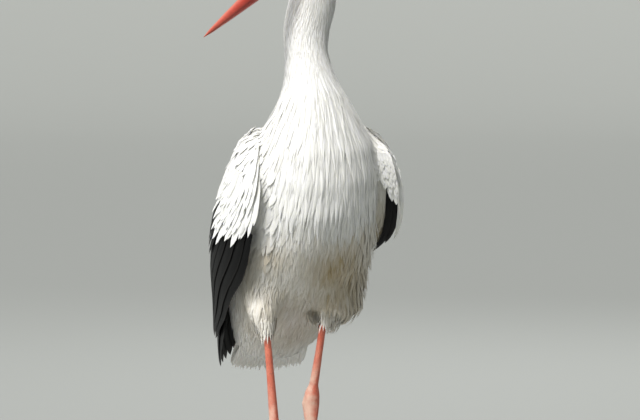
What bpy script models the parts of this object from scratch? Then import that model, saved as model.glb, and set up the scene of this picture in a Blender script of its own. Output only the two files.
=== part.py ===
"""White stork, life size, standing at rest with its head turned to its right.

Metres, +Z up. The bird faces -Y and its left side is +X. The floor is z = 0.
Every solid reaches out to the tips of the feathers it stands for.
"""

import math

import bmesh
import bpy
import numpy as np
from mathutils import Vector

# ---- driving dimensions -------------------------------------------------------------
GAP = 0.0004  # clearance between neighbouring solids
TRUNK_GAP = 0.0006  # clearance of what lies against the trunk
RING = 24  # points round a body section

# Body line, from inside the head down the neck and back to the end of the trunk.
# x, y, z of the centre, then half width, height of the back and depth of the front.
NECK_LINE = (
    (0.0090, -0.034, 0.872, 0.0220, 0.0230, 0.0220),  # inside the head
    (0.0125, -0.025, 0.838, 0.0280, 0.0290, 0.0280),
    (0.0100, -0.021, 0.802, 0.0335, 0.0340, 0.0330),  # throat
    (0.0010, -0.020, 0.762, 0.0330, 0.0340, 0.0330),
    (0.0005, -0.026, 0.720, 0.0320, 0.0360, 0.0360),  # slimmest
    (0.0030, -0.037, 0.682, 0.0430, 0.0440, 0.0460),
    (0.0050, -0.043, 0.645, 0.0640, 0.0560, 0.0640),  # root of the neck
)
TRUNK_LINE = (
    (0.0060, -0.036, 0.600, 0.0910, 0.0700, 0.0900),  # shoulders
    (0.0050, -0.012, 0.548, 0.1000, 0.0860, 0.1060),  # breast
    (0.0070, 0.036, 0.487, 0.1060, 0.0900, 0.1060),
    (0.0080, 0.090, 0.427, 0.1030, 0.0800, 0.0920),  # belly
    (0.0050, 0.140, 0.374, 0.0880, 0.0580, 0.0700),
    (0.0010, 0.182, 0.334, 0.0700, 0.0360, 0.0500),  # vent
    (-0.0020, 0.214, 0.303, 0.0540, 0.0190, 0.0340),  # under the tail
)
BODY_LINE = NECK_LINE + TRUNK_LINE
HEAD_END = 0.0  # places along the body line, counted in rows
NECK_END = 5.6
TRUNK_END = 13.0
VENT_CAP = ((0.012, 0.8), (0.020, 0.5), (0.023, 0.0))  # distance past the end, size

# Folded wings: rows along the same axis, from the root of the neck to the wing tip.
# y, z of the centre, half width, height of the back, depth of the front, then the edge
# near the spine and the lower edge as angles from straight up the back, in degrees.
RIGHT_WING_LINE = (
    (-0.043, 0.645, 0.064, 0.062, 0.070, 60, 90),
    (-0.036, 0.600, 0.098, 0.082, 0.100, 40, 122),  # wrist
    (-0.012, 0.548, 0.113, 0.100, 0.116, 24, 136),
    (0.036, 0.487, 0.122, 0.107, 0.117, 12, 140),
    (0.090, 0.427, 0.117, 0.101, 0.101, 6, 131),
    (0.140, 0.374, 0.104, 0.082, 0.080, 2, 121),
    (0.182, 0.334, 0.094, 0.062, 0.062, 1, 112),
    (0.224, 0.296, 0.084, 0.045, 0.045, 1, 106),
    (0.262, 0.260, 0.072, 0.031, 0.031, 1, 102),  # wing tip
)
LEFT_WING_LINE = (
    (-0.043, 0.645, 0.068, 0.062, 0.070, 60, 86),
    (-0.036, 0.600, 0.107, 0.084, 0.098, 42, 106),  # wrist
    (-0.012, 0.548, 0.127, 0.103, 0.112, 26, 110),
    (0.036, 0.487, 0.131, 0.110, 0.112, 13, 104),
    (0.090, 0.427, 0.111, 0.102, 0.100, 6, 90),
    (0.140, 0.374, 0.096, 0.083, 0.080, 2, 84),
    (0.182, 0.334, 0.079, 0.063, 0.062, 1, 82),
    (0.224, 0.296, 0.063, 0.047, 0.045, 1, 82),
    (0.262, 0.260, 0.050, 0.034, 0.031, 1, 82),  # wing tip
)
WRIST = 0.50  # where each layer starts and ends, counted in rows of the wing line
WRIST_ROUND = 0.75  # how much later both edges of the wing start than its bend
COVERT_TIP_BACK, COVERT_TIP_LOW = 5.1, 2.55
SECONDARY_TIP_BACK, SECONDARY_TIP_LOW = 7.35, 6.3
PRIMARY_ROOT, PRIMARY_TIP = 6.0, 8.0
ARM_THICKNESS = 0.030  # wrist, arm and coverts together
VANE_THICKNESS = 0.0022  # one layer of stacked quills
LEFT_WING_DROOP = 0.012  # how far the left wing's lower edge stands off the body
RIGHT_WING_DROOP = 0.0

# Head and bill, in the head's own axes: forward along the bill.
EYE_MID = Vector((-0.019, -0.052, 0.859))  # between the eyes
HEAD_YAW = math.radians(61.0)  # turned to the bird's right
HEAD_PITCH = math.radians(32.0)  # tipped down
BILL_LENGTH = 0.172
EYE_BEHIND_BILL = 0.027
# distance behind the bill's root, rise of the centre, half width, half height
HEAD_ROWS = (
    (0.000, 0.0000, 0.0128, 0.0158),
    (0.012, 0.0015, 0.0160, 0.0195),
    (0.027, 0.0040, 0.0205, 0.0250),
    (0.044, 0.0062, 0.0252, 0.0290),
    (0.060, 0.0065, 0.0262, 0.0290),
    (0.075, 0.0045, 0.0225, 0.0245),
    (0.085, 0.0025, 0.0150, 0.0165),
    (0.090, 0.0010, 0.0070, 0.0080),
)
# share of the bill's length, half width, depth above and below the gape
BILL_ROWS = (
    (0.00, 0.0126, 0.0166, 0.0140),
    (0.20, 0.0108, 0.0140, 0.0116),
    (0.45, 0.0082, 0.0106, 0.0086),
    (0.70, 0.0054, 0.0070, 0.0056),
    (0.90, 0.0027, 0.0035, 0.0027),
    (0.985, 0.0011, 0.0013, 0.0010),
)
EYE_RADIUS = 0.0068
EYE_OUT = 0.0160  # eye centre from the head's middle plane
EYE_RISE = 0.0060

# Legs: centre x, y, z then half width and half depth of the feathered part.
LEFT_THIGH = (
    (0.062, 0.052, 0.450, 0.044, 0.046),
    (0.064, 0.044, 0.412, 0.044, 0.046),
    (0.059, 0.037, 0.382, 0.040, 0.041),
    (0.048, 0.029, 0.362, 0.028, 0.030),
    (0.034, 0.021, 0.347, 0.0100, 0.0115),
)
RIGHT_THIGH = (
    (-0.046, 0.050, 0.440, 0.030, 0.044),
    (-0.047, 0.044, 0.402, 0.031, 0.044),
    (-0.049, 0.034, 0.370, 0.028, 0.037),
    (-0.049, 0.025, 0.350, 0.020, 0.024),
    (-0.047, 0.018, 0.335, 0.0100, 0.0115),
)
ANKLE_LEFT = Vector((0.024, 0.056, 0.232))
ANKLE_RIGHT = Vector((-0.031, 0.036, 0.184))
FOOT_LEFT = Vector((0.024, 0.030, 0.0))
FOOT_RIGHT = Vector((-0.036, 0.130, 0.0))  # trails, as in a slow walk
TIBIA_RADIUS = 0.0050
ANKLE_HALF_WIDTH = 0.0122
SHANK_RADIUS = 0.0062
FOOT_HEIGHT = 0.0152
# toe name: angle from straight ahead (outwards is positive), length, thickness at root
TOES = {
    "inner": (-32.0, 0.062, 0.0125),
    "middle": (4.0, 0.080, 0.0135),
    "outer": (40.0, 0.068, 0.0125),
    "hind": (172.0, 0.030, 0.0110),
}
CLAW_LENGTH = 0.011

TAIL_FEATHERS = 12
TAIL_ROOT, TAIL_TIP = 5.2, 8.30  # counted in rows of the wing line

FINISHES = {
    "white_feather": ((0.86, 0.85, 0.81), 0.75, 0.0),
    "black_feather": ((0.018, 0.017, 0.020), 0.5, 0.0),
    "red_horn": ((0.66, 0.075, 0.035), 0.4, 0.0),
    "red_skin": ((0.68, 0.13, 0.075), 0.5, 0.0),
    "eye_dark": ((0.012, 0.009, 0.008), 0.08, 0.0),
    "claw_dark": ((0.09, 0.045, 0.035), 0.45, 0.0),
}


# ---- scene and helpers --------------------------------------------------------------
def clear_scene():
    for obj in list(bpy.data.objects):
        bpy.data.objects.remove(obj, do_unlink=True)


def new_collection(name):
    made = bpy.data.collections.new(name)
    bpy.context.scene.collection.children.link(made)
    return made


def material(name):
    found = bpy.data.materials.get(name)
    if found:
        return found
    colour, roughness, metallic = FINISHES[name]
    made = bpy.data.materials.new(name)
    made.use_nodes = True
    shader = made.node_tree.nodes["Principled BSDF"]
    shader.inputs["Base Color"].default_value = (*colour, 1.0)
    shader.inputs["Roughness"].default_value = roughness
    shader.inputs["Metallic"].default_value = metallic
    return made


def place(name, mesh, finish):
    mesh.shade_smooth()
    mesh.set_sharp_from_angle(angle=math.radians(50))
    obj = bpy.data.objects.new(name, mesh)
    STORK.objects.link(obj)
    obj.data.materials.append(material(finish))
    return obj


def smooth_row(rows, at):
    """The row at a place between rows, on a Catmull-Rom curve through them."""
    table = np.array(rows, float)
    last = len(table) - 1
    at = min(max(at, 0.0), float(last))
    i = min(int(at), last - 1)
    f = at - i
    before = table[i - 1] if i > 0 else 2 * table[0] - table[1]
    after = table[i + 2] if i + 2 <= last else 2 * table[last] - table[last - 1]
    a, b = table[i], table[i + 1]
    return 0.5 * (
        2 * a
        + (b - before) * f
        + (2 * before - 5 * a + 4 * b - after) * f**2
        + (3 * a - before - 3 * b + after) * f**3
    )


def line_frame(rows, at):
    """Centre, direction, side (towards +X) and back direction of a line of centres."""
    step = 0.05
    centre = Vector(smooth_row(rows, at)[:3])
    ahead = Vector(smooth_row(rows, at + step)[:3])
    behind = Vector(smooth_row(rows, at - step)[:3])
    along = (ahead - behind).normalized()
    side = Vector((1, 0, 0))
    side = (side - side.dot(along) * along).normalized()
    return centre, along, side, side.cross(along)


def loft(rings, blunt_start=True, blunt_end=True):
    """A closed mesh through rings of equal count. A ring of one point is a pole."""
    bm = bmesh.new()
    made = [[bm.verts.new(p) for p in ring] for ring in rings]
    for a, b in zip(made, made[1:]):
        count = max(len(a), len(b))
        for i in range(count):
            j = (i + 1) % count
            corners = (a[i % len(a)], a[j % len(a)], b[j % len(b)], b[i % len(b)])
            bm.faces.new(tuple(dict.fromkeys(corners)))
    if blunt_start:
        bm.faces.new(made[0])
    if blunt_end:
        bm.faces.new(made[-1])
    bmesh.ops.recalc_face_normals(bm, faces=bm.faces)
    mesh = bpy.data.meshes.new("loft")
    bm.to_mesh(mesh)
    bm.free()
    return mesh


def oval(centre, side, up, half_width, above, below, count=RING):
    """A ring whose upper and lower halves may differ in height."""
    ring = []
    for i in range(count):
        angle = 2 * math.pi * i / count
        high = above if math.sin(angle) > 0 else below
        ring.append(
            centre + side * half_width * math.cos(angle) + up * high * math.sin(angle)
        )
    return ring


def sheet(outer, inner):
    """A closed shell between two equal grids of points, outer[row][column]."""
    bm = bmesh.new()
    top = [[bm.verts.new(p) for p in row] for row in outer]
    low = [[bm.verts.new(p) for p in row] for row in inner]
    rows, columns = len(outer), len(outer[0])
    for grid in (top, low):
        for r in range(rows - 1):
            for c in range(columns - 1):
                bm.faces.new(
                    (grid[r][c], grid[r][c + 1], grid[r + 1][c + 1], grid[r + 1][c])
                )
    rim = [(0, c) for c in range(columns)]
    rim += [(r, columns - 1) for r in range(1, rows)]
    rim += [(rows - 1, c) for c in range(columns - 2, -1, -1)]
    rim += [(r, 0) for r in range(rows - 2, 0, -1)]
    for (r, c), (s, d) in zip(rim, rim[1:] + rim[:1]):
        bm.faces.new((top[r][c], top[s][d], low[s][d], low[r][c]))
    bmesh.ops.recalc_face_normals(bm, faces=bm.faces)
    mesh = bpy.data.meshes.new("sheet")
    bm.to_mesh(mesh)
    bm.free()
    return mesh


def cutter(name, mesh):
    obj = bpy.data.objects.new(name, mesh)
    CUTTERS.objects.link(obj)
    obj.hide_render = True
    obj.display_type = "WIRE"
    return obj


def cut(obj, tool):
    made = obj.modifiers.new("cut_" + tool.name, "BOOLEAN")
    made.operation = "DIFFERENCE"
    made.solver = "EXACT"
    made.object = tool


# ---- head, bill and eyes ------------------------------------------------------------
def head_axes():
    """Forward, right and up of the head, turned and tipped down."""
    level = Vector((-math.sin(HEAD_YAW), -math.cos(HEAD_YAW), 0))
    forward = level * math.cos(HEAD_PITCH) - Vector((0, 0, math.sin(HEAD_PITCH)))
    right = level.cross(Vector((0, 0, 1))).normalized()
    return forward, right, right.cross(forward)


def bill_root():
    forward, _, _ = head_axes()
    return EYE_MID + forward * EYE_BEHIND_BILL


def head_rings(grow=0.0):
    forward, right, up = head_axes()
    rings = []
    for back, rise, half_width, half_height in HEAD_ROWS:
        centre = bill_root() - forward * (back - (grow if back == 0 else 0)) + up * rise
        rings.append(
            oval(centre, right, up, half_width + grow, half_height + grow,
                 half_height + grow, 18)
        )
    tip = bill_root() - forward * (HEAD_ROWS[-1][0] + 0.0015 + grow)
    rings.append([tip])
    return rings


def make_head():
    head = place("head", loft(head_rings(), blunt_end=False), "white_feather")
    for side, sign in (("left", -1), ("right", 1)):
        cut(head, cutter("socket_" + side, ball_mesh(eye_centre(sign), EYE_RADIUS + GAP)))
    return head


def eye_centre(sign):
    _, right, up = head_axes()
    return EYE_MID + right * sign * EYE_OUT + up * EYE_RISE


def ball_mesh(centre, radius):
    bm = bmesh.new()
    bmesh.ops.create_uvsphere(bm, u_segments=12, v_segments=8, radius=radius)
    mesh = bpy.data.meshes.new("ball")
    bm.to_mesh(mesh)
    bm.free()
    for vertex in mesh.vertices:
        vertex.co += centre
    return mesh


def make_eyes():
    for side, sign in (("left", -1), ("right", 1)):
        place("eye_" + side, ball_mesh(eye_centre(sign), EYE_RADIUS), "eye_dark")


def make_bill():
    """Two tapering halves that meet at the gape."""
    forward, right, up = head_axes()
    for name, sign in (("bill_upper", 1), ("bill_lower", -1)):
        rings = []
        for share, half_width, above, below in BILL_ROWS:
            depth = above if sign > 0 else below
            centre = bill_root() + forward * (GAP + share * BILL_LENGTH)
            centre += up * sign * GAP / 2
            ring = []
            for i in range(13):
                angle = math.pi * i / 12
                ring.append(
                    centre
                    + right * half_width * math.cos(angle)
                    + up * sign * depth * math.sin(angle) ** 0.9
                )
            rings.append(ring)
        length = BILL_LENGTH * (1.0 if sign > 0 else 0.993)
        tip = bill_root() + forward * length + up * sign * (GAP / 2 + 0.0003)
        rings.append([tip])
        place(name, loft(rings, blunt_end=False), "red_horn")


# ---- neck and trunk -----------------------------------------------------------------
def places(start, end, steps):
    return [start + (end - start) * i / steps for i in range(steps + 1)]


def body_rings(places_along, grow=0.0):
    """Sections of the body line. The first and last are drawn in by half a gap."""
    rings = []
    for at in places_along:
        centre, along, side, back = line_frame(BODY_LINE, at)
        _, _, _, half_width, above, below = smooth_row(BODY_LINE, at)
        if at == places_along[0]:
            centre += along * (GAP / 2 - grow)
        if at == places_along[-1]:
            centre -= along * (GAP / 2 - grow)
        rings.append(
            oval(centre, side, back, half_width + grow, above + grow, below + grow)
        )
    return rings


def make_neck(head_tool):
    neck = place("neck", loft(body_rings(NECK_PLACES)), "white_feather")
    cut(neck, head_tool)


def vent_cap(grow=0.0):
    """Rings that round off the end of the trunk."""
    centre, along, side, back = line_frame(BODY_LINE, TRUNK_END)
    _, _, _, half_width, above, below = smooth_row(BODY_LINE, TRUNK_END)
    rings = []
    for step, size in VENT_CAP:
        middle = centre + along * (step + grow)
        if size == 0:
            rings.append([middle + along * grow])
            continue
        rings.append(
            oval(middle, side, back, half_width * size + grow, above * size + grow,
                 below * size + grow)
        )
    return rings


def make_trunk():
    rings = body_rings(TRUNK_PLACES) + vent_cap()
    place("trunk", loft(rings, blunt_end=False), "white_feather")


def trunk_tool():
    """The trunk and the root of the neck, grown by the gap, to fit the rest to."""
    rings = body_rings(NECK_PLACES[-4:-1] + TRUNK_PLACES, TRUNK_GAP)
    rings += vent_cap(TRUNK_GAP)
    return cutter("trunk_tool", loft(rings, blunt_end=False))


# ---- wings --------------------------------------------------------------------------
class Wing:
    """A folded wing: which side it is on, its line and how far it droops."""

    def __init__(self, side, sign, line, droop):
        self.side = side
        self.sign = sign
        self.line = line
        self.centres = [(0, row[0], row[1]) for row in line]
        self.droop = droop

    def edges(self, at):
        row = smooth_row(self.line, at)
        return row[5], row[6]

    def point(self, at, angle, depth):
        """A point by its place along the wing, angle round it and depth below it."""
        row = smooth_row(self.line, at)
        centre, _, side, back = line_frame(self.centres, at)
        half_width, near, low = row[2], row[5], row[6]
        turn = math.radians(angle)
        height = row[3] if math.cos(turn) > 0 else row[4]
        across = min(max((angle - near) / (low - near), 0), 1)
        stand_off = self.droop * across**2 * math.sin(math.pi * min(at / 8 + 0.25, 1))
        out = (half_width - depth) * math.sin(turn) + stand_off
        return centre + side * self.sign * out + back * (height - depth) * math.cos(turn)


def share_between(back_value, low_value, across):
    return back_value + (low_value - back_value) * across**1.2


def feather_tips(across, feathers, sharp):
    """0 at a feather's tip and 1 in the notch between two, and the ridge over a vane."""
    within = across * feathers % 1.0
    off = abs(2 * within - 1)
    return off**sharp, 1 - off**2


def wing_layer(wing, name, finish, feathers, rows, start, end, notch, depths):
    """One shell of a wing. start and end give rows of the wing line across the wing,
    depths gives the outer and inner depth at a place."""
    columns = feathers * 3
    outer, inner = [], []
    for r in range(rows + 1):
        outer_row, inner_row = [], []
        for c in range(columns + 1):
            across = c / columns
            cut_back, ridge = feather_tips(across, feathers, 1.6)
            last = end(across) - notch * cut_back
            at = start(across) + (last - start(across)) * r / rows
            near, low = wing.edges(at)
            angle = near + (low - near) * across
            outside, inside = depths(at, across, r / rows)
            outer_row.append(wing.point(at, angle, outside - 0.0008 * ridge))
            inner_row.append(wing.point(at, angle, inside))
        outer.append(outer_row)
        inner.append(inner_row)
    return place(f"wing_{wing.side}_{name}", sheet(outer, inner), finish)


def covert_start(across):
    """A rounded front edge round the bend of the wing."""
    return WRIST + WRIST_ROUND * (1.6 * (across - 0.45)) ** 2


def covert_end(across):
    """White runs far down beside the spine and ends early over the rest of the wing."""
    return COVERT_TIP_LOW + (COVERT_TIP_BACK - COVERT_TIP_LOW) * (1 - across) ** 2.8


def covert_depths(at, across, share):
    """Thick over the arm, rounded at the wrist and both edges, thin at the tips."""
    rim = math.sin(math.pi * min(max(across, 0.03), 0.97)) ** 0.5
    wrist = math.sin(math.pi / 2 * min(share / 0.16 + 0.2, 1.0))
    arm = ARM_THICKNESS * rim * wrist
    thin = covert_end(across) - at < 1.5
    inside = VANE_THICKNESS if thin else max(arm, VANE_THICKNESS)
    return (1 - wrist) * 0.020, inside + (1 - wrist) * 0.020


def secondary_depths(at, across, share):
    outside = VANE_THICKNESS + 0.0024
    under_arm = at < 5.2
    rim = math.sin(math.pi * min(max(across, 0.03), 0.97)) ** 0.5
    return outside, outside + (0.010 * rim if under_arm else VANE_THICKNESS) + 0.0006


def primary_depths(at, across, share):
    outside = 2 * VANE_THICKNESS + 0.0048
    return outside, outside + VANE_THICKNESS


def make_wing(wing, body_tool):
    coverts = wing_layer(
        wing, "coverts", "white_feather", 7, 10,
        covert_start, covert_end, 0.42, covert_depths,
    )
    cut(coverts, body_tool)
    secondaries = wing_layer(
        wing, "secondaries", "black_feather", 8, 6,
        lambda across: covert_end(across) - 0.80,
        lambda across: share_between(SECONDARY_TIP_BACK, SECONDARY_TIP_LOW, across),
        0.35, secondary_depths,
    )
    cut(secondaries, body_tool)
    primaries = wing_layer(
        wing, "primaries", "black_feather", 5, 4,
        lambda across: PRIMARY_ROOT,
        lambda across: PRIMARY_TIP - 0.4 * abs(2 * across - 1.4),
        0.45, primary_depths,
    )
    cut(primaries, body_tool)


# ---- tail ---------------------------------------------------------------------------
def make_tail(body_tool):
    """Twelve stacked quills under the folded wings, as one ridged fan."""
    columns, rows = TAIL_FEATHERS * 2, 5
    line = [(0, r[0], r[1]) for r in RIGHT_WING_LINE]
    outer, inner = [], []
    for r in range(rows + 1):
        outer_row, inner_row = [], []
        for c in range(columns + 1):
            across = c / columns
            off_centre = 2 * across - 1
            cut_back, ridge = feather_tips(across, TAIL_FEATHERS, 1.0)
            end = TAIL_TIP - 0.60 * off_centre**2 - 0.08 * cut_back
            at = TAIL_ROOT + (end - TAIL_ROOT) * r / rows
            centre, along, side, back = line_frame(line, min(at, 8.0))
            centre += along * max(at - 8.0, 0) * 0.05
            half_width = 0.046 + 0.014 * r / rows
            thick = 0.007 * (1 - r / rows) + 0.0016
            arch = 0.004 - 0.012 * off_centre**2
            middle = centre + side * off_centre * half_width + back * arch
            outer_row.append(middle + back * (thick / 2 + 0.0006 * ridge))
            inner_row.append(middle - back * thick / 2)
        outer.append(outer_row)
        inner.append(inner_row)
    tail = place("tail", sheet(outer, inner), "white_feather")
    cut(tail, body_tool)


# ---- legs ---------------------------------------------------------------------------
def leg_rings(rows, count=14):
    """Sections square to a leg's own line, level at both ends so that pieces meet flat.
    Each row is x, y, z, half width, half depth."""
    points = [Vector(r[:3]) for r in rows]
    rings = []
    for i, (point, row) in enumerate(zip(points, rows)):
        along = (points[min(i + 1, len(rows) - 1)] - points[max(i - 1, 0)]).normalized()
        side = Vector((1, 0, 0))
        side = (side - side.dot(along) * along).normalized()
        rings.append(oval(point, side, along.cross(side), row[3], row[4], row[4], count))
    for i in (0, -1):
        rings[i] = [Vector((p.x, p.y, points[i].z)) for p in rings[i]]
    return rings


def make_thigh(name, rows, body_tool):
    thigh = place(name, loft(leg_rings(rows, 20)), "white_feather")
    cut(thigh, body_tool)
    return Vector(rows[-1][:3])


def tube_rows(start, end, shape):
    """Rows along a straight line: shape is (share, half width, half depth) triples."""
    rows = []
    for share, half_width, half_depth in shape:
        rows.append((*(start + (end - start) * share), half_width, half_depth))
    return rows


def make_leg(side, thigh_end, ankle, foot):
    """Bare upper leg, then the shank with its thick ankle, down to the toes."""
    line = (ankle - thigh_end).normalized()
    top = thigh_end - Vector((0, 0, GAP))
    knee = ankle - line * 0.030
    r = TIBIA_RADIUS
    tibia = tube_rows(top, knee, ((0, r, r * 1.1), (0.5, r, r * 1.15), (1, r * 1.25, r * 1.5)))
    place("tibia_" + side, loft(leg_rings(tibia)), "red_skin")
    top_of_foot = foot + Vector((0, 0.002, FOOT_HEIGHT + GAP))
    shank = ankle - top_of_foot
    rows = [
        (*(knee - Vector((0, 0, GAP))), r * 1.25, r * 1.5),
        (*(ankle - line * 0.014), ANKLE_HALF_WIDTH * 0.86, ANKLE_HALF_WIDTH * 0.86),
        (*ankle, ANKLE_HALF_WIDTH, ANKLE_HALF_WIDTH * 0.95),
        (*(ankle - shank.normalized() * 0.015), ANKLE_HALF_WIDTH * 0.84, 0.0098),
        (*(ankle - shank.normalized() * 0.034), SHANK_RADIUS * 1.1, SHANK_RADIUS * 1.15),
        (*(ankle - shank * 0.55), SHANK_RADIUS * 0.95, SHANK_RADIUS),
        (*(ankle - shank * 0.90), SHANK_RADIUS, SHANK_RADIUS * 1.05),
        (*top_of_foot, SHANK_RADIUS * 1.2, SHANK_RADIUS * 1.25),
    ]
    place("shank_" + side, loft(leg_rings(rows)), "red_skin")


def toe_mesh(foot, heading, length, thick):
    """A toe with three soft joints, flat underneath."""
    level = Vector((-math.sin(heading), -math.cos(heading), 0))
    across = level.cross(Vector((0, 0, 1)))
    rings = []
    steps = 5
    for i in range(steps + 1):
        share = i / steps
        knuckle = 1 + 0.10 * math.cos(share * 5 * math.pi)
        half = thick / 2 * (1 - 0.38 * share) * knuckle
        centre = foot + level * share * length + Vector((0, 0, half * 0.86))
        ring = oval(centre, across, Vector((0, 0, 1)), half, half, half, 8)
        rings.append([Vector((p.x, p.y, max(p.z, 0.0))) for p in ring])
    return loft(rings)


def claw_mesh(foot, heading, length, thick):
    """A short blunt nail that bends down to the floor."""
    level = Vector((-math.sin(heading), -math.cos(heading), 0))
    across = level.cross(Vector((0, 0, 1)))
    start = foot + level * (length + GAP)
    root = thick / 2 * 0.50
    rings = []
    for share, size in ((0, 1.0), (0.45, 0.82), (0.8, 0.5)):
        half = root * size
        centre = start + level * share * CLAW_LENGTH
        centre.z = root * 1.25 * (1 - share**2 * 0.55)
        ring = oval(centre, across, Vector((0, 0, 1)), half, half, half, 8)
        rings.append([Vector((p.x, p.y, max(p.z, 0.0002))) for p in ring])
    tip = start + level * CLAW_LENGTH
    tip.z = root * 0.35
    rings.append([tip])
    return loft(rings, blunt_end=False)


def join(name, meshes, finish):
    """One solid from overlapping meshes."""
    base = place(name, meshes[0], finish)
    for i, mesh in enumerate(meshes[1:]):
        tool = cutter(f"{name}_piece_{i}", mesh)
        made = base.modifiers.new("join", "BOOLEAN")
        made.operation = "UNION"
        made.solver = "EXACT"
        made.object = tool
    return base


def make_foot(side, foot, sign):
    """A pad with three front toes and a hind one, and a claw on each toe."""
    turn = 0.10 * sign
    pad_rings = []
    for height, size in ((0.0, 0.95), (0.004, 1.08), (0.010, 0.92), (FOOT_HEIGHT, 0.66)):
        centre = foot + Vector((0, 0.001, height))
        pad_rings.append(
            oval(centre, Vector((1, 0, 0)), Vector((0, 1, 0)), 0.0125 * size,
                 0.0135 * size, 0.0125 * size, 12)
        )
    toes = []
    for toe, (angle, length, thick) in TOES.items():
        heading = turn - math.radians(angle) * sign
        toes.append(toe_mesh(foot, heading, length, thick))
        place(
            f"claw_{side}_{toe}", claw_mesh(foot, heading, length, thick), "claw_dark"
        )
    join("foot_" + side, [loft(pad_rings), *toes], "red_skin")


# ---- whole bird ---------------------------------------------------------------------
def stand_at_origin():
    """Moves everything so that the middle of the bird's box is over the origin."""
    bpy.context.view_layer.update()
    graph = bpy.context.evaluated_depsgraph_get()
    corners = []
    for obj in STORK.objects:
        corners += [obj.matrix_world @ Vector(c) for c in obj.evaluated_get(graph).bound_box]
    low = [min(c[k] for c in corners) for k in range(3)]
    high = [max(c[k] for c in corners) for k in range(3)]
    shift = Vector((-(low[0] + high[0]) / 2, -(low[1] + high[1]) / 2, 0))
    holder = bpy.data.objects.new("stork_frame", None)
    STORK.objects.link(holder)
    for obj in list(STORK.objects) + list(CUTTERS.objects):
        if obj is not holder:
            obj.parent = holder
    holder.location = shift


def main():
    make_head()
    make_eyes()
    make_bill()
    make_neck(cutter("head_tool", loft(head_rings(GAP), blunt_end=False)))
    make_trunk()
    body_tool = trunk_tool()
    make_wing(Wing("left", 1, LEFT_WING_LINE, LEFT_WING_DROOP), body_tool)
    make_wing(Wing("right", -1, RIGHT_WING_LINE, RIGHT_WING_DROOP), body_tool)
    make_tail(body_tool)
    left_thigh = make_thigh("thigh_left", LEFT_THIGH, body_tool)
    right_thigh = make_thigh("thigh_right", RIGHT_THIGH, body_tool)
    make_leg("left", left_thigh, ANKLE_LEFT, FOOT_LEFT)
    make_leg("right", right_thigh, ANKLE_RIGHT, FOOT_RIGHT)
    make_foot("left", FOOT_LEFT, 1)
    make_foot("right", FOOT_RIGHT, -1)
    stand_at_origin()


NECK_PLACES = places(HEAD_END, NECK_END, 13)
TRUNK_PLACES = places(NECK_END, TRUNK_END, 13)

clear_scene()
STORK = new_collection("stork")
CUTTERS = new_collection("cutters")
main()
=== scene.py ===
"""White stork, life size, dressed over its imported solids: skin, plumage, bill, eyes and legs.

Metres, +Z up. The bird faces -Y and its left side is +X. The skin follows the solids of
flesh, a coat's depth inside them, and every feather is a thin closed vane that lies over it.
"""

import math
from functools import partial

import bmesh
import bpy
import numpy as np
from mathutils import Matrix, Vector
from mathutils.bvhtree import BVHTree
from mathutils.kdtree import KDTree


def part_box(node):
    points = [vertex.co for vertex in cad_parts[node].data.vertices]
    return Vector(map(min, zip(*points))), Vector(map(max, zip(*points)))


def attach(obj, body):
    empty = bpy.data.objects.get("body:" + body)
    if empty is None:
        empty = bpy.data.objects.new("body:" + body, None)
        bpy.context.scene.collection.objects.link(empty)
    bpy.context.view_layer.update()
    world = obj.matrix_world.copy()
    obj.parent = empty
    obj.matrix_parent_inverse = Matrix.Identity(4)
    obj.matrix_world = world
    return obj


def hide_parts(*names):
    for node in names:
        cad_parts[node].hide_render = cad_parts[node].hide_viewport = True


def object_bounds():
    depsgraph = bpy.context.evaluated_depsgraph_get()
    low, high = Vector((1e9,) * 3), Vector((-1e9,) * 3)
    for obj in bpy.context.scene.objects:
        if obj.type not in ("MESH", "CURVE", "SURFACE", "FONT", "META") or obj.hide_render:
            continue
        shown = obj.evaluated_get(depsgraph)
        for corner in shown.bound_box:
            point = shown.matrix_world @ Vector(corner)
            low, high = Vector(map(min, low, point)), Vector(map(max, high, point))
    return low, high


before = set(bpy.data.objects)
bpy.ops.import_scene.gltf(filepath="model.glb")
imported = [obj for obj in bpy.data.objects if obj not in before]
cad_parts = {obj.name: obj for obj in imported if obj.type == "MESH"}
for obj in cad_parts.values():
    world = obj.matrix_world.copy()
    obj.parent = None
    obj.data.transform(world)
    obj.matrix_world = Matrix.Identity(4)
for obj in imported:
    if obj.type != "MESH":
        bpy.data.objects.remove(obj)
CAD_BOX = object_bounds()
RNG = np.random.default_rng(20)
FEWER = 1  # a draft has its feathers this much further apart

# ---- the bird's own lines, in metres ------------------------------------------------
# Line through the middle of the body from the head to the vent: x, y, z.
BODY_LINE = (
    (0.0090, -0.034, 0.872),
    (0.0125, -0.025, 0.838),
    (0.0100, -0.021, 0.802),
    (0.0010, -0.020, 0.762),
    (0.0005, -0.026, 0.720),
    (0.0030, -0.037, 0.682),
    (0.0050, -0.043, 0.645),
    (0.0060, -0.036, 0.600),
    (0.0050, -0.012, 0.548),
    (0.0070, 0.036, 0.487),
    (0.0080, 0.090, 0.427),
    (0.0050, 0.140, 0.374),
    (0.0010, 0.182, 0.334),
    (-0.0020, 0.214, 0.303),
)
# The folded wings lie beside the body line from its seventh row to its last but one, and
# then go on to their own tips: y, z.
WING_PATH = (*((y, z) for _, y, z in BODY_LINE[6:13]), (0.224, 0.296), (0.262, 0.260))
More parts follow.
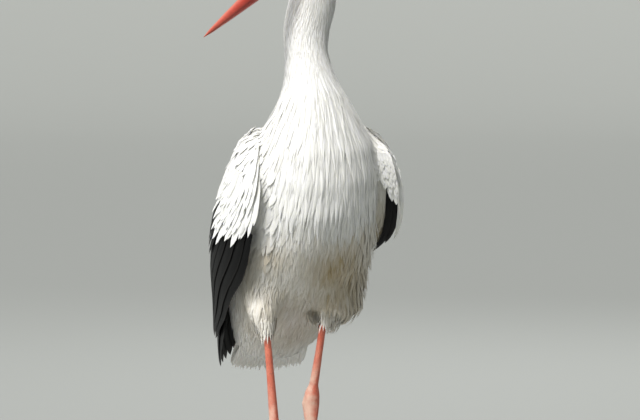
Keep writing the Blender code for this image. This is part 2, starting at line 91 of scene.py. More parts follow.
# Rows of a wing: half width, height of back, depth of front, and the turns in degrees from
# straight up to its edge near the spine and to its lower edge.
RIGHT_WING_ROWS = (
    (0.064, 0.062, 0.070, 60, 90),
    (0.098, 0.082, 0.100, 40, 122),
    (0.113, 0.100, 0.116, 24, 136),
    (0.122, 0.107, 0.117, 12, 140),
    (0.117, 0.101, 0.101, 6, 131),
    (0.104, 0.082, 0.080, 2, 121),
    (0.094, 0.062, 0.062, 1, 112),
    (0.084, 0.045, 0.045, 1, 106),
    (0.072, 0.031, 0.031, 1, 102),
)
LEFT_WING_ROWS = (
    (0.068, 0.062, 0.070, 60, 86),
    (0.107, 0.084, 0.098, 42, 106),
    (0.127, 0.103, 0.112, 26, 110),
    (0.131, 0.110, 0.112, 13, 104),
    (0.111, 0.102, 0.100, 6, 90),
    (0.096, 0.083, 0.080, 2, 84),
    (0.079, 0.063, 0.062, 1, 82),
    (0.063, 0.047, 0.045, 1, 82),
    (0.050, 0.034, 0.031, 1, 82),
)
ROW_LENGTH = 0.053  # between the last rows of a wing
WRIST, WRIST_ROUND = 0.50, 0.75  # these and the tips are rows of a wing
COVERT_TIP_BACK, COVERT_TIP_LOW = 5.1, 2.55
SECONDARY_TIP_BACK, SECONDARY_TIP_LOW = 7.35, 6.3
PRIMARY_TIP = 8.0
ARM_THICKNESS = 0.030
LEFT_WING_DROOP = 0.012
COVERT_DEPTH = 0.004  # of the face that the coverts make, below a wing's outer surface
FACE_GRID = 36  # rows and columns of places on that face

# Head and bill, in the head's own axes. Bill rows: share, half width, height above, below.
EYE_MID = Vector((-0.019, -0.052, 0.859))
HEAD_YAW, HEAD_PITCH = math.radians(61.0), math.radians(32.0)
BILL_LENGTH = 0.172
EYE_BEHIND_BILL = 0.027
EYE_RADIUS, EYE_RISE = 0.0068, 0.0060
BILL_ROWS = (
    (0.00, 0.0126, 0.0166, 0.0140),
    (0.20, 0.0108, 0.0140, 0.0116),
    (0.45, 0.0082, 0.0106, 0.0086),
    (0.70, 0.0054, 0.0070, 0.0056),
    (0.90, 0.0027, 0.0035, 0.0027),
    (0.985, 0.0011, 0.0013, 0.0010),
)

SKIN_VOXEL, LEG_VOXEL = 0.0036, 0.0014
FLESH_GROWN, LEG_GROWN, CLAW_GROWN = 0.0007, 0.0005, 0.0002  # so that neighbours join
RELAX_ROUNDS, LIE_ROUNDS = 130, 12
BAKE_PATCH = 0.003  # a feather's width and height on the skin's own unwrap
PIECE_TRIANGLES = 190000  # at most, in one piece of the coat
AT_ONCE = 1500  # feathers laid, or places looked up, in one go
# Places tried for the roots of each part of the coat, of which far fewer are kept.
BODY_TRIES, RUFF_TRIES, SHOULDER_TRIES, FLANK_TRIES, THIGH_TRIES = (
    400000, 18000, 16000, 12000, 9000
)


# ---- small helpers ------------------------------------------------------------------
def unit(v):
    return v / np.maximum(np.linalg.norm(v, axis=-1, keepdims=True), 1e-12)


def ease(low, high, x):
    t = np.clip((np.asarray(x, float) - low) / (high - low), 0, 1)
    return t * t * (3 - 2 * t)


def fade(low, high, x):
    return 1 - ease(low, high, x)


def bell(x, middle, reach, power=2):
    return np.exp(-(((x - middle) / reach) ** power))


def varied(low, high, count):
    return RNG.uniform(low, high, count)


def across_face(direction, normal):
    """A direction turned to lie in the face that has this normal."""
    return unit(direction - np.sum(direction * normal, -1, keepdims=True) * normal)


def row_at(rows, at):
    """Rows at places between rows, on Catmull-Rom curves through them."""
    table = np.array(rows, float)
    table = np.array((2 * table[0] - table[1], *table, 2 * table[-1] - table[-2]))
    at = np.clip(np.asarray(at, float), 0, len(rows) - 1)
    i = np.minimum(at.astype(int), len(rows) - 2)
    f = (at - i)[..., None]
    before, a, b, after = (table[i + k] for k in range(4))
    return 0.5 * (
        2 * a
        + (b - before) * f
        + (2 * before - 5 * a + 4 * b - after) * f**2
        + (3 * a - before - 3 * b + after) * f**3
    )


def line_frame(centres, at):
    """Centre, direction, side and back direction along a line of centres, which goes
    straight on past its last row."""
    past = np.maximum(np.asarray(at, float) - (len(centres) - 1), 0)
    at = at - past
    along = unit(row_at(centres, at + 0.05) - row_at(centres, at - 0.05))
    side = across_face(np.array((1.0, 0, 0)), along)
    centre = row_at(centres, at) + along * past[..., None] * ROW_LENGTH
    return centre, along, side, np.cross(side, along)


def corners(solid):
    """The lowest and highest corners of a solid."""
    return (np.array(v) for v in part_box(solid))


LEVEL = Vector((-math.sin(HEAD_YAW), -math.cos(HEAD_YAW), 0))
AHEAD = LEVEL * math.cos(HEAD_PITCH) - Vector((0, 0, math.sin(HEAD_PITCH)))
ASIDE = LEVEL.cross(Vector((0, 0, 1))).normalized()
FORWARD, RIGHT, UP = (np.array(v) for v in (AHEAD, ASIDE, ASIDE.cross(AHEAD)))
EYES = {side: sum(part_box("eye_" + side), Vector()) / 2 for side in ("left", "right")}
SHIFT = np.array((EYES["left"] + EYES["right"]) / 2 - EYE_MID) - UP * EYE_RISE
BILL_ROOT = np.array(EYE_MID) + SHIFT + FORWARD * EYE_BEHIND_BILL
BODY_CENTRES = np.array(BODY_LINE) + SHIFT
WING_CENTRES = np.array([(0, y, z) for y, z in WING_PATH]) + SHIFT


def covert_start(across):
    return WRIST + WRIST_ROUND * (1.6 * (across - 0.45)) ** 2


def covert_end(across):
    """White runs far down beside the spine and ends early over the rest of the wing."""
    from_spine = 1 - np.clip(across, 0, 1)
    return COVERT_TIP_LOW + (COVERT_TIP_BACK - COVERT_TIP_LOW) * from_spine**2.8


def secondary_end(across):
    share = np.clip(across, 0, 1) ** 1.2
    return SECONDARY_TIP_BACK + (SECONDARY_TIP_LOW - SECONDARY_TIP_BACK) * share


class Wing:
    """A folded wing: places on it go by rows along it and a share across it, from the
    edge near the spine to the lower edge, with the depth below the outer surface."""

    def __init__(self, sign, rows, droop):
        self.sign, self.rows, self.droop = sign, rows, droop

    def point(self, at, across, depth):
        at, across = np.broadcast_arrays(np.asarray(at, float), across)
        half_width, back_high, front_deep, near, low = np.moveaxis(row_at(self.rows, at), -1, 0)
        centre, _, side, back = line_frame(WING_CENTRES, at)
        turn = np.radians(near + (low - near) * across)
        height = np.where(np.cos(turn) > 0, back_high, front_deep)
        held = np.clip(across, 0, 1) ** 2 * np.sin(np.pi * np.minimum(at / 8 + 0.25, 1))
        out = (half_width - depth) * np.sin(turn) + self.droop * held
        up = (height - depth) * np.cos(turn)
        return centre + side * self.sign * out[..., None] + back * up[..., None]

    def grid(self, start, end, near, low, rows, columns):
        """How far along and across the points of a grid over part of the wing are."""
        across = np.linspace(near, low, columns + 1)[None, :]
        first, last = start(across), end(across)
        at = first + (last - first) * np.linspace(0, 1, rows + 1)[:, None]
        return at, across + 0 * at

    def locate(self, points, end=covert_end):
        """How far points are from the covert face, or the face as far as another end,
        and where they are on the wing."""
        at, across = self.grid(covert_start, end, 0.0, 1.0, FACE_GRID, FACE_GRID)
        tree = KDTree(at.size)
        for i, spot in enumerate(self.point(at, across, COVERT_DEPTH).reshape(-1, 3)):
            tree.insert(spot, i)
        tree.balance()
        _, index, gap = zip(*(tree.find(p) for p in points))
        index = np.array(index)
        return np.array(gap), at.ravel()[index], across.ravel()[index]


LEFT_WING = Wing(1, LEFT_WING_ROWS, LEFT_WING_DROOP)
RIGHT_WING = Wing(-1, RIGHT_WING_ROWS, 0.0)
WINGS = (LEFT_WING, RIGHT_WING)


# ---- meshes -------------------------------------------------------------------------
def mesh_from(name, points, faces):
    mesh = bpy.data.meshes.new(name)
    mesh.from_pydata(np.reshape(points, (-1, 3)).tolist(), [], [tuple(face) for face in faces])
    mesh.update()
    return mesh


def ring_faces(rows, ring, closed=False):
    """Quads between rings of points, and back to the first ring if closed."""
    r, c = np.meshgrid(np.arange(rows - (not closed)), np.arange(ring), indexing="ij")
    s, d = (r + 1) % rows, (c + 1) % ring
    quads = np.stack((r * ring + c, r * ring + d, s * ring + d, s * ring + c), -1)
    return quads.reshape(-1, 4)


def fan(first, ring, pole):
    """Triangles from a ring of points to one pole."""
    return [(first + k, first + (k + 1) % ring, pole) for k in range(ring)]


def from_bmesh(bm, name):
    mesh = bpy.data.meshes.new(name)
    bm.to_mesh(mesh)
    bm.free()
    return mesh


def faced_out(mesh):
    bm = bmesh.new()
    bm.from_mesh(mesh)
    bmesh.ops.recalc_face_normals(bm, faces=bm.faces)
    bm.to_mesh(mesh)
    bm.free()
    return mesh


def in_scene(name, data):
    made = bpy.data.objects.new(name, data)
    bpy.context.scene.collection.objects.link(made)
    return made


def worked(mesh, *modifiers):
    """The mesh with modifiers worked in, each one a kind and its settings."""
    blank = in_scene(mesh.name, mesh)
    for kind, settings in modifiers:
        added = blank.modifiers.new(kind, kind)
        for key, value in settings.items():
            setattr(added, key, value)
    graph = bpy.context.evaluated_depsgraph_get()
    made = bpy.data.meshes.new_from_object(blank.evaluated_get(graph))
    bpy.data.objects.remove(blank)
    return made


def arrays(mesh):
    both = []
    for key in ("co", "normal"):
        values = np.empty(len(mesh.vertices) * 3, np.float32)
        mesh.vertices.foreach_get(key, values)
        both.append(values.reshape(-1, 3).astype(float))
    return both


def moved(mesh, points):
    mesh.vertices.foreach_set("co", points.astype(np.float32).ravel())
    mesh.update()


def give_values(mesh, name, values):
    made = mesh.attributes.new(name, "FLOAT", "POINT")
    made.data.foreach_set("value", np.asarray(values, np.float32))


def place(name, mesh, finish, slot, *solids):
    """A finished piece that rides on the body and stands for some solids."""
    made = in_scene(name, mesh)
    mesh.materials.clear()
    mesh.materials.append(finish)
    mesh.shade_smooth()
    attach(made, "root")
    if solids:
        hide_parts(*solids)
    return made


def wobble(points, size, seed):
    """A smooth random value from -1 to 1 that changes over about the given length."""
    p = np.asarray(points, float) / size * 2 * np.pi
    total = np.zeros(len(p))
    for k, (a, b, c) in enumerate(((1.0, 0.37, -0.21), (-0.31, 0.9, 0.43), (0.27, -0.35, 1.1))):
        wave = p[:, 0] * a + p[:, 1] * b + p[:, 2] * c + seed * (k + 1.7)
        total += np.sin(wave + 1.3 * np.sin(0.7 * wave + seed + k))
    return total / 3


# ---- materials ----------------------------------------------------------------------
KERATIN_IOR = 1.54
MIX = {"data_type": "RGBA"}
MULTIPLY = {"data_type": "RGBA", "blend_type": "MULTIPLY"}
BARBS = {"wave_type": "BANDS", "bands_direction": "DIAGONAL"}
# Patterns, as repeats in a metre.
DOWN_TUFTS = 420.0  # of 2.4 mm
HORN_FLECKS = 260.0  # of 4 mm
LEG_SCALES = 480.0  # of 2 mm
LEG_CLOUDS = 70.0  # of 14 mm
FACE_GRAINS = 900.0  # of 1.1 mm
CLAW_GRAINS = 500.0  # of 2 mm
# Rows of barbs, as stretches of a wave 0.63 long across and along a feather: 1 mm apart,
# three times as far as real ones, because rows 0.35 mm apart are too fine to show.
WHITE_BARBS = (-8.0, 26.0, 1.0)  # on a feather of 43 mm
BLACK_BARBS = (6.0, 90.0, 1.0)  # on a quill of 150 mm


def linear(code):
    """An sRGB hex colour as linear RGBA."""
    parts = [int(code[i : i + 2], 16) / 255 for i in (1, 3, 5)]
    return (*(c / 12.92 if c <= 0.04045 else ((c + 0.055) / 1.055) ** 2.4 for c in parts), 1.0)


def give(made, inputs):
    """Gives a node its inputs, named or numbered: values, hex colours, sockets, nodes
    whose first output in use is linked, or the names of values that the mesh carries."""
    for key, value in inputs.items():
        number = key[1:].isdigit()
        socket = made.inputs[int(key[1:]) if number else key.replace("_", " ")]
        if isinstance(value, str) and value[0] == "#":
            value = linear(value)
        elif isinstance(value, str):
            carried = add_node(made.id_data, "Attribute", {"attribute_name": value})
            value = carried.outputs["Fac"]
        if isinstance(value, bpy.types.Node):
            value = next(out for out in value.outputs if out.enabled)
        if isinstance(value, bpy.types.NodeSocket):
            made.id_data.links.new(value, socket)
        else:
            socket.default_value = value


def add_node(tree, kind, settings=None, **inputs):
    """Adds a node with its settings and links. A ramp has stops: places and colours, or
    shares of white."""
    made = tree.nodes.new("ShaderNode" + kind)
    for key, value in (settings or {}).items():
        if key != "stops":
            setattr(made, key, value)
            continue
        for i, (along, colour) in enumerate(value):
            elements = made.color_ramp.elements
            stop = elements[i] if i < 2 else elements.new(along)
            coloured = isinstance(colour, str)
            stop.position = along
            stop.color = linear(colour) if coloured else (colour, colour, colour, 1)
    give(made, inputs)
    return made


def new_finish(name):
    """A new finish, and the function that adds a node to it."""
    made = bpy.data.materials.new(name)
    made.use_nodes = True
    return made, partial(add_node, made.node_tree)


def surfaced(made, **inputs):
    """The finish with the inputs of its surface set and linked."""
    give(made.node_tree.nodes["Principled BSDF"], inputs)
    return made


def on_vane(node):
    """A feather's own map, how far a place is from the shaft and how far to the tip."""
    lie = node("UVMap", {"uv_map": "vane"})
    vane = node("SeparateXYZ", i0=lie).outputs
    off = node("Math", {"operation": "SUBTRACT"}, i0=vane["X"], i1=0.5)
    return lie, node("Math", {"operation": "ABSOLUTE"}, i0=off), vane["Y"]


def white_plumage():
    """Matt keratin barbs that scatter the light, bleached by the sun and soiled where the bird lies
    down. The same stain mix also carries painted shade on the lower belly, the thighs and the left
    wing's lining."""
    made, node = new_finish("white_plumage_barbs")
    _, aside, to_tip = on_vane(node)
    base = node("Mix", MIX, i0="tint", i6="#F7F7F5", i7="#DFDFDA")
    # Greyer towards each feather's root: grey down at the base, and painted shade where it lies under
    # its neighbours.
    deep = ((0.0, "#EAEAE9"), (0.5, 1))
    down = node("ValToRGB", {"stops": deep}, i0=to_tip)
    downy_and_shaded_roots = node("Mix", MULTIPLY, i0=0.55, i6=base, i7=down)
    # Stain mix: real stain, with painted shade on the lower belly, the thighs and the left wing's
    # lining.
    stained_and_shaded = node("Mix", MIX, i0="soil", i6=downy_and_shaded_roots, i7="#A08A58")
    both = node("CombineXYZ", i0=aside, i1=to_tip)
    stretch = node("Mapping", i0=both, i3=WHITE_BARBS)
    barbs = node("TexWave", BARBS, i0=stretch, i1=1.0, i2=1.2).outputs["Fac"]
    rows = ((0.0, "#F6F6F5"), (0.5, 1))
    shade = node("ValToRGB", {"stops": rows}, i0=barbs)
    return surfaced(
        made,
        Base_Color=node("Mix", MULTIPLY, i0=0.8, i6=stained_and_shaded, i7=shade),
        Normal=node("Bump", i0=0.22, i1=0.0002, Height=barbs),
        Roughness=0.72, IOR=KERATIN_IOR, Specular_IOR_Level=0.25, Sheen_Weight=0.12,
        Sheen_Roughness=0.5, Subsurface_Weight=0.35, Subsurface_Radius=(0.006, 0.006, 0.005),
    )


def white_skin_down():
    """Short white down close to the skin, matt and woolly, seen only between feathers."""
    made, node = new_finish("down_covered_skin")
    spot = node("TexCoord").outputs["Object"]
    tufts = node("TexNoise", i0=spot, i2=DOWN_TUFTS, i3=4.0)
    base = node("Mix", MIX, i0=tufts, i6="#D6D3CB", i7="#EFEDE8")
    return surfaced(
        made,
        # Stain mix: real stain, with painted shade on the lower belly and the thighs.
        Base_Color=node("Mix", MIX, i0="soil", i6=base, i7="#8F7852"),
        Normal=node("Bump", i0=0.6, i1=0.001, Height=tufts),
        Roughness=0.9, IOR=KERATIN_IOR, Specular_IOR_Level=0.2,
    )


def black_vanes():
    """Keratin full of melanin: close barbs with a silky sheen, paler at edges and browner
    at worn tips."""
    made, node = new_finish("black_quill_vanes")
    lie, aside, to_tip = on_vane(node)
    base = node("Mix", MIX, i0="tint", i6="#060607", i7="#0F0E0F")
    worn = node("ValToRGB", {"stops": ((0.86, 0), (1.0, 0.7))}, i0=to_tip)
    edge = node("ValToRGB", {"stops": ((0.40, 0), (0.5, 0.35))}, i0=aside)
    tipped = node("Mix", MIX, i0=worn, i6=base, i7="#3B332D")
    stretch = node("Mapping", i0=lie, i3=BLACK_BARBS)
    barbs = node("TexWave", BARBS, i0=stretch, i1=1.0, i2=1.0).outputs["Fac"]
    return surfaced(
        made,
        Base_Color=node("Mix", MIX, i0=edge, i6=tipped, i7="#2C2826"),
        Normal=node("Bump", i0=0.25, i1=0.0002, Height=barbs),
        Roughness=0.50, IOR=KERATIN_IOR, Specular_IOR_Level=0.13,
    )


def bill_horn():
    """Red horn over bone, polished by use: dark at the root, salmon along the blade, with a painted
    highlight on the ridge and painted shade at the gape and the nostril slits.
    """
    made, node = new_finish("bill_red_horn")
    reds = ((0, "#8E2418"), (0.14, "#B8332A"), (0.5, "#BE463A"), (0.85, "#C95F4E"), (1, "#B85442"))
    along = node("ValToRGB", {"stops": reds}, i0="reach")
    # A painted highlight along the ridge, carried by rise.
    crown = node("Mix", MIX, i0="rise", i6=along, i7="#DB8A78")
    # Painted shade along the gape, on the inner face and in the nostril slits.
    shaded_gape_and_nostril = node("Mix", MIX, i0="pit", i6=crown, i7="#3A0F0A")
    spot = node("TexCoord").outputs["Object"]
    flecks = node("TexNoise", i0=spot, i2=HORN_FLECKS, i3=5.0)
    cloudy = ((0.35, "#E7E5E5"), (0.65, 1))
    mottled = node("ValToRGB", {"stops": cloudy}, i0=flecks)
    return surfaced(
        made,
        Base_Color=node("Mix", MULTIPLY, i0=0.6, i6=shaded_gape_and_nostril, i7=mottled),
        Normal=node("Bump", i0=0.25, i1=0.0002, Height=flecks),
        Roughness=0.36, IOR=KERATIN_IOR, Subsurface_Weight=0.06,
        Subsurface_Radius=(0.003, 0.001, 0.0006),
    )


def leg_scales():
    """Red skin in small many-sided scales, powdered white over the ankle by the bird's own droppings,
    and whiter on the side the lamps light, where it is a painted highlight: a dull surface with fine
    dark seams."""
    made, node = new_finish("red_leg_scales")
    spot = node("TexCoord").outputs["Object"]
    to_edge = {"feature": "DISTANCE_TO_EDGE"}
    cells = node("TexVoronoi", to_edge, i0=spot, i2=LEG_SCALES, i8=0.75).outputs["Distance"]
    seams = node("ValToRGB", {"stops": ((0.0, 0), (0.13, 1))}, i0=cells)
    cloud = node("TexNoise", i0=spot, i2=LEG_CLOUDS, i3=4.0)
    red = node("Mix", MIX, i0=cloud, i6="#C6432A", i7="#EA7B5A")
    lined = node("Mix", MIX, i0=seams, i6="#A5402E", i7=red)
    # Chalk, with a painted highlight on the lit side.
    chalk_dust_and_highlight = node("Math", {"operation": "MULTIPLY"}, i0="chalk", i1=cloud)
    more = node("Math", {"operation": "MULTIPLY", "use_clamp": True}, i0=chalk_dust_and_highlight, i1=1.7)
    return surfaced(
        made,
        Base_Color=node("Mix", MIX, i0=more, i6=lined, i7="#E4BDA9"),
        Normal=node("Bump", i0=0.5, i1=0.0004, Height=seams),
        Roughness=0.5, IOR=1.45,
    )


def dark_tissue(name, code, grains, **gloss):
    """Dark skin or horn with a fine uneven grain, so many grains to the metre."""
    made, node = new_finish(name)
    spot = node("TexCoord").outputs["Object"]
    specks = node("TexNoise", i0=spot, i2=grains, i3=3.0)
    dark = linear(code)
    lighter = (*(c * 1.6 + 0.004 for c in dark[:3]), 1)
    return surfaced(
        made,
        Base_Color=node("Mix", MIX, i0=specks, i6=dark, i7=lighter),
        Normal=node("Bump", i0=0.4, i1=0.0002, Height=specks),
        **gloss,
    )


def eye_surface():
    """Dark brown iris round a black pupil under a wet cornea, so a sharp highlight."""
    made, node = new_finish("eye_wet_cornea")
    rings = ((0, "#040303"), (0.36, "#050303"), (0.42, "#20140D"), (0.72, "#170E09"), (0.86, "#0B0808"))
    iris = node("ValToRGB", {"stops": rings}, i0="from_pupil")
    return surfaced(
        made, Base_Color=iris, Roughness=0.12, IOR=1.38, Coat_Weight=1.0, Coat_Roughness=0.02
    )


WHITE = white_plumage()
DOWN = white_skin_down()
BLACK = black_vanes()
HORN = bill_horn()
SCALES = leg_scales()
# Bare skin is leathery and half matt. A claw is horn that the ground has worn smoother.
BARE = dark_tissue("bare_black_face_skin", "#141213", FACE_GRAINS, Roughness=0.55, IOR=1.5)
CLAW = dark_tissue("claw_dark_horn", "#2A1512", CLAW_GRAINS, Roughness=0.38, IOR=KERATIN_IOR)
EYE = eye_surface()


# ---- skin ---------------------------------------------------------------------------
def grown_copy(bm, name, grow):
    """Adds a node's solid to bm, a little larger, so that neighbours run together."""
    start = len(bm.verts)
    bm.from_mesh(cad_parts[name].data)
    bmesh.ops.remove_doubles(bm, verts=list(bm.verts)[start:], dist=1e-6)
    bm.normal_update()
    for vertex in list(bm.verts)[start:]:
        vertex.co += vertex.normal * grow


def add_shell(bm, points, faces):
    corner = [bm.verts.new(p) for p in points.reshape(-1, 3)]
    for face in faces:
        bm.faces.new([corner[i] for i in face])


def closed_over(bm, voxel, rounds):
    return worked(
        from_bmesh(bm, "flesh"),
        ("REMESH", {"mode": "VOXEL", "voxel_size": voxel}),
        ("SMOOTH", {"factor": 0.5, "iterations": rounds}),
    )


def arm_shell(bm, wing):
    """The flesh of a folded wing: upper arm, forearm and hand under the coverts. The
    left one stands off the body, so its front edge is full and round."""
    rows, columns = 18, 20
    at, across = wing.grid(
        lambda x: covert_start(x) + 0.08, lambda x: covert_end(x) - 0.9, 0.04, 0.96, rows, columns
    )
    shares = np.linspace(0, 1, rows + 1)[:, None] + 0 * at
    full = 0.18 * (wing is LEFT_WING) * fade(1.7, 2.6, at)
    rim = np.sin(np.pi * np.clip(across, 0.04, 0.96 - full)) ** 0.5
    wrist = np.sin(np.pi / 2 * np.minimum(shares / 0.16 + 0.2, 1.0))
    thin = 1 - 0.8 * ease(0.5, 1.0, shares)
    outside = (1 - wrist) * 0.020 + 0.0042
    inside = outside + np.maximum(ARM_THICKNESS * rim * wrist * thin, 0.0045)
    faces, edges = [], []
    for i in np.arange(2 * at.size).reshape(2, rows + 1, columns + 1):
        faces.append(np.stack((i[:-1, :-1], i[:-1, 1:], i[1:, 1:], i[1:, :-1]), -1).reshape(-1, 4))
        edge = np.concatenate((i[0], i[1:, -1], i[-1, -2::-1], i[-2:0:-1, 0]))
        edges += [edge, np.roll(edge, -1)]
    faces.append(np.stack((edges[0], edges[1], edges[3], edges[2]), -1))
    layers = [wing.point(at, across, depth) for depth in (outside, inside)]
    add_shell(bm, np.array(layers), np.concatenate(faces))


def along_body(points):
    """The nearest place on the body line, the direction there and how far to the front."""
    places = np.linspace(0, len(BODY_LINE) - 1, 261)
    centre, along, _, back = line_frame(BODY_CENTRES, places)
    nearest = np.empty(len(points), int)
    for start in range(0, len(points), AT_ONCE):
        part = slice(start, start + AT_ONCE)
        nearest[part] = np.linalg.norm(points[part, None] - centre[None], axis=2).argmin(1)
    away = points - centre[nearest]
    front = -np.sum(unit(away) * back[nearest], 1)
    return places[nearest], along[nearest], front


def to_head(points):
    """Distance behind the bill's root along the head, and distance from that axis."""
    away = points - BILL_ROOT
    behind = -away @ FORWARD
    return behind, np.linalg.norm(away + behind[:, None] * FORWARD, axis=1)


def head_share(points):
    behind, off = to_head(points)
    return fade(0.030, 0.042, off) * fade(0.070, 0.094, behind)


def thigh_share(points):
    share = np.zeros(len(points))
    for side in ("left", "right"):
        low, high = corners("thigh_" + side)
        reach = np.linalg.norm((points - (low + high) / 2) / ((high - low) / 2), axis=1)
        share = np.maximum(share, fade(0.95, 1.7, reach))
    return share


def soil_and_shade_at(points):
    """Brownish stain low on the breast and belly and round the vent, which on the lower belly also
    stands in for painted shade; on the thighs it is painted shade.
    """
    s, _, front = along_body(points)
    p = points - SHIFT
    low = fade(0.455, 0.510, p[:, 2]) * (1 - 0.6 * ease(11.0, 12.5, s))
    belly = low * ease(-0.1, 0.6, front)
    patch = 0.5 + 0.5 * wobble(p, 0.070, 2.0)
    fine = 0.5 + 0.5 * wobble(p, 0.019, 5.0)
    spot = np.exp(-(((p[:, 0] - 0.040) / 0.035) ** 2 + ((p[:, 2] - 0.440) / 0.045) ** 2))
    ruff = 0.05 * ease(4.5, 6.0, s) * fade(8.5, 9.2, s) * fine
    # belly: real stain that also stands in for painted shade, darker towards the bottom; spot: the real
    # stain.
    value = belly * (0.20 + 0.42 * patch * (0.4 + 0.6 * fine)) + 0.45 * spot * belly
    # The thigh term is painted shade that darkens the thighs where the lamps light them.
    return np.clip(value + ruff + 0.12 * thigh_share(points) * (0.5 + patch), 0, 0.8)


def relaxed(mesh, points, share, rounds):
    """Points evened out over the mesh, each one by its own share."""
    ends = np.empty(len(mesh.edges) * 2, np.int32)
    mesh.edges.foreach_get("vertices", ends)
    a, b = ends.reshape(-1, 2).T
    count = np.bincount(a, minlength=len(points)) + np.bincount(b, minlength=len(points))
    for _ in range(rounds):
        total = np.zeros_like(points)
        for axis in range(3):
            total[:, axis] = np.bincount(a, points[b, axis], len(points))
            total[:, axis] += np.bincount(b, points[a, axis], len(points))
        points = points + (total / count[:, None] - points) * share[:, None] * 0.6
    return points


def shoulder_share(at, across):
    """How far the breast's feathers lie over the right wing, which is drawn in so close
    that the body's coat runs on over its front edge and its bend."""
    edge = ease(0.72, 0.80, across) * fade(2.4, 2.9, at)
    bend = ease(0.25, 0.55, across) * fade(1.7, 2.4, at)
    return np.maximum(edge, bend)


def wing_cover(points, whole=False):
    """How much each point belongs to the outer face of a wing, with or without the part
    of the right one that the body's coat covers."""
    cover = np.zeros(len(points))
    for wing in WINGS:
        gap, at, across = wing.locate(points)
        on = fade(0.006, 0.010, gap)
        if wing is RIGHT_WING and not whole:
            on = on * (1 - shoulder_share(at, across))
        cover = np.maximum(cover, on)
    return cover


def bill_core(bm):
    """The face carried on inside the bill, so that it doesn't round off at the root."""
    rings, sides = [], 24
    turn = 2 * np.pi * np.arange(sides) / sides
    for ahead in (-0.012, 0.0, 0.012, 0.020):
        size = 0.97 - 12 * max(ahead, 0)
        x = 0.0126 * size * np.cos(turn)
        z = np.where(np.sin(turn) > 0, 0.0160, 0.0138) * size * np.sin(turn)
        ring = BILL_ROOT + FORWARD * ahead + RIGHT * x[:, None] + UP * z[:, None]
        rings.append(ring)
    ends = (range(sides), range(3 * sides, 4 * sides))
    add_shell(bm, np.array(rings), (*ring_faces(4, sides).tolist(), *ends))


def make_skin():
    bm = bmesh.new()
    flesh = ("head", "neck", "trunk", "thigh_left", "thigh_right")
    for name in flesh:
        grown_copy(bm, name, FLESH_GROWN)
    for wing in WINGS:
        arm_shell(bm, wing)
    bill_core(bm)
    bmesh.ops.recalc_face_normals(bm, faces=bm.faces)
    mesh = closed_over(bm, SKIN_VOXEL * (1), 8)
    points, _ = arrays(mesh)
    gap, at, across = RIGHT_WING.locate(points)
    wing_edge = fade(0.020, 0.040, gap) * ease(0.60, 0.85, across) * fade(2.8, 3.4, at)
    above_knee = ease(0.365, 0.385, points[:, 2])
    loose = np.clip(wing_edge + thigh_share(points) * above_knee, 0, 1)
    moved(mesh, relaxed(mesh, points, loose, RELAX_ROUNDS))
    points, normals = arrays(mesh)
    s, _, _ = along_body(points)
    head, (behind, _) = head_share(points), to_head(points)
    wing = wing_cover(points, whole=True)
    coat_depth = (0.0030 + 0.0030 * ease(3, 7, s)) * (1 - wing) + 0.0006 * wing
    face = 0.0008 + 0.0016 * ease(0.004, 0.045, behind)
    coat_depth = coat_depth * (1 - head) + face * head
    points = points - normals * coat_depth[:, None]
    moved(mesh, points)
    give_values(mesh, "soil", soil_and_shade_at(points))
    coverts = ("wing_left_coverts", "wing_right_coverts")
    return place("skin", mesh, DOWN, "white_feather", *flesh, *coverts)


def unwrapped(skin):
    """The skin's own unwrap, in islands by which way each part of it faces."""
    bpy.ops.object.select_all(action="DESELECT")
    bpy.context.view_layer.objects.active = skin
    skin.select_set(True)
    bpy.ops.object.mode_set(mode="EDIT")
    bpy.ops.mesh.select_all(action="SELECT")
    bpy.ops.uv.smart_project(angle_limit=math.radians(66), island_margin=0.004)
    bpy.ops.object.mode_set(mode="OBJECT")
    layer = skin.data.uv_layers[0]
    layer.name = "OFBake"
    flat = np.empty(len(skin.data.loops) * 2, np.float32)
    skin.data.uv_layers["OFBake"].data.foreach_get("uv", flat)
    return flat.reshape(-1, 2)


NEIGHBOURS = [(i, j, k) for i in (-1, 0, 1) for j in (-1, 0, 1) for k in (-1, 0, 1)]


def spaced_out(places, gap):
    """Which places to keep, taken in turn, so that each has its gap free round it."""
    cell, grid, kept = float(gap.max()), {}, []
    keys = np.floor(places / cell).astype(int).tolist()
    for i, ((x, y, z), (a, b, c), free) in enumerate(zip(places.tolist(), keys, (gap**2).tolist())):
        near = (
            (px - x) ** 2 + (py - y) ** 2 + (pz - z) ** 2 < free
            for da, db, dc in NEIGHBOURS
            for px, py, pz in grid.get((a + da, b + db, c + dc), ())
        )
        if not any(near):
            grid.setdefault((a, b, c), []).append((x, y, z))
            kept.append(i)
    return np.array(kept, int)


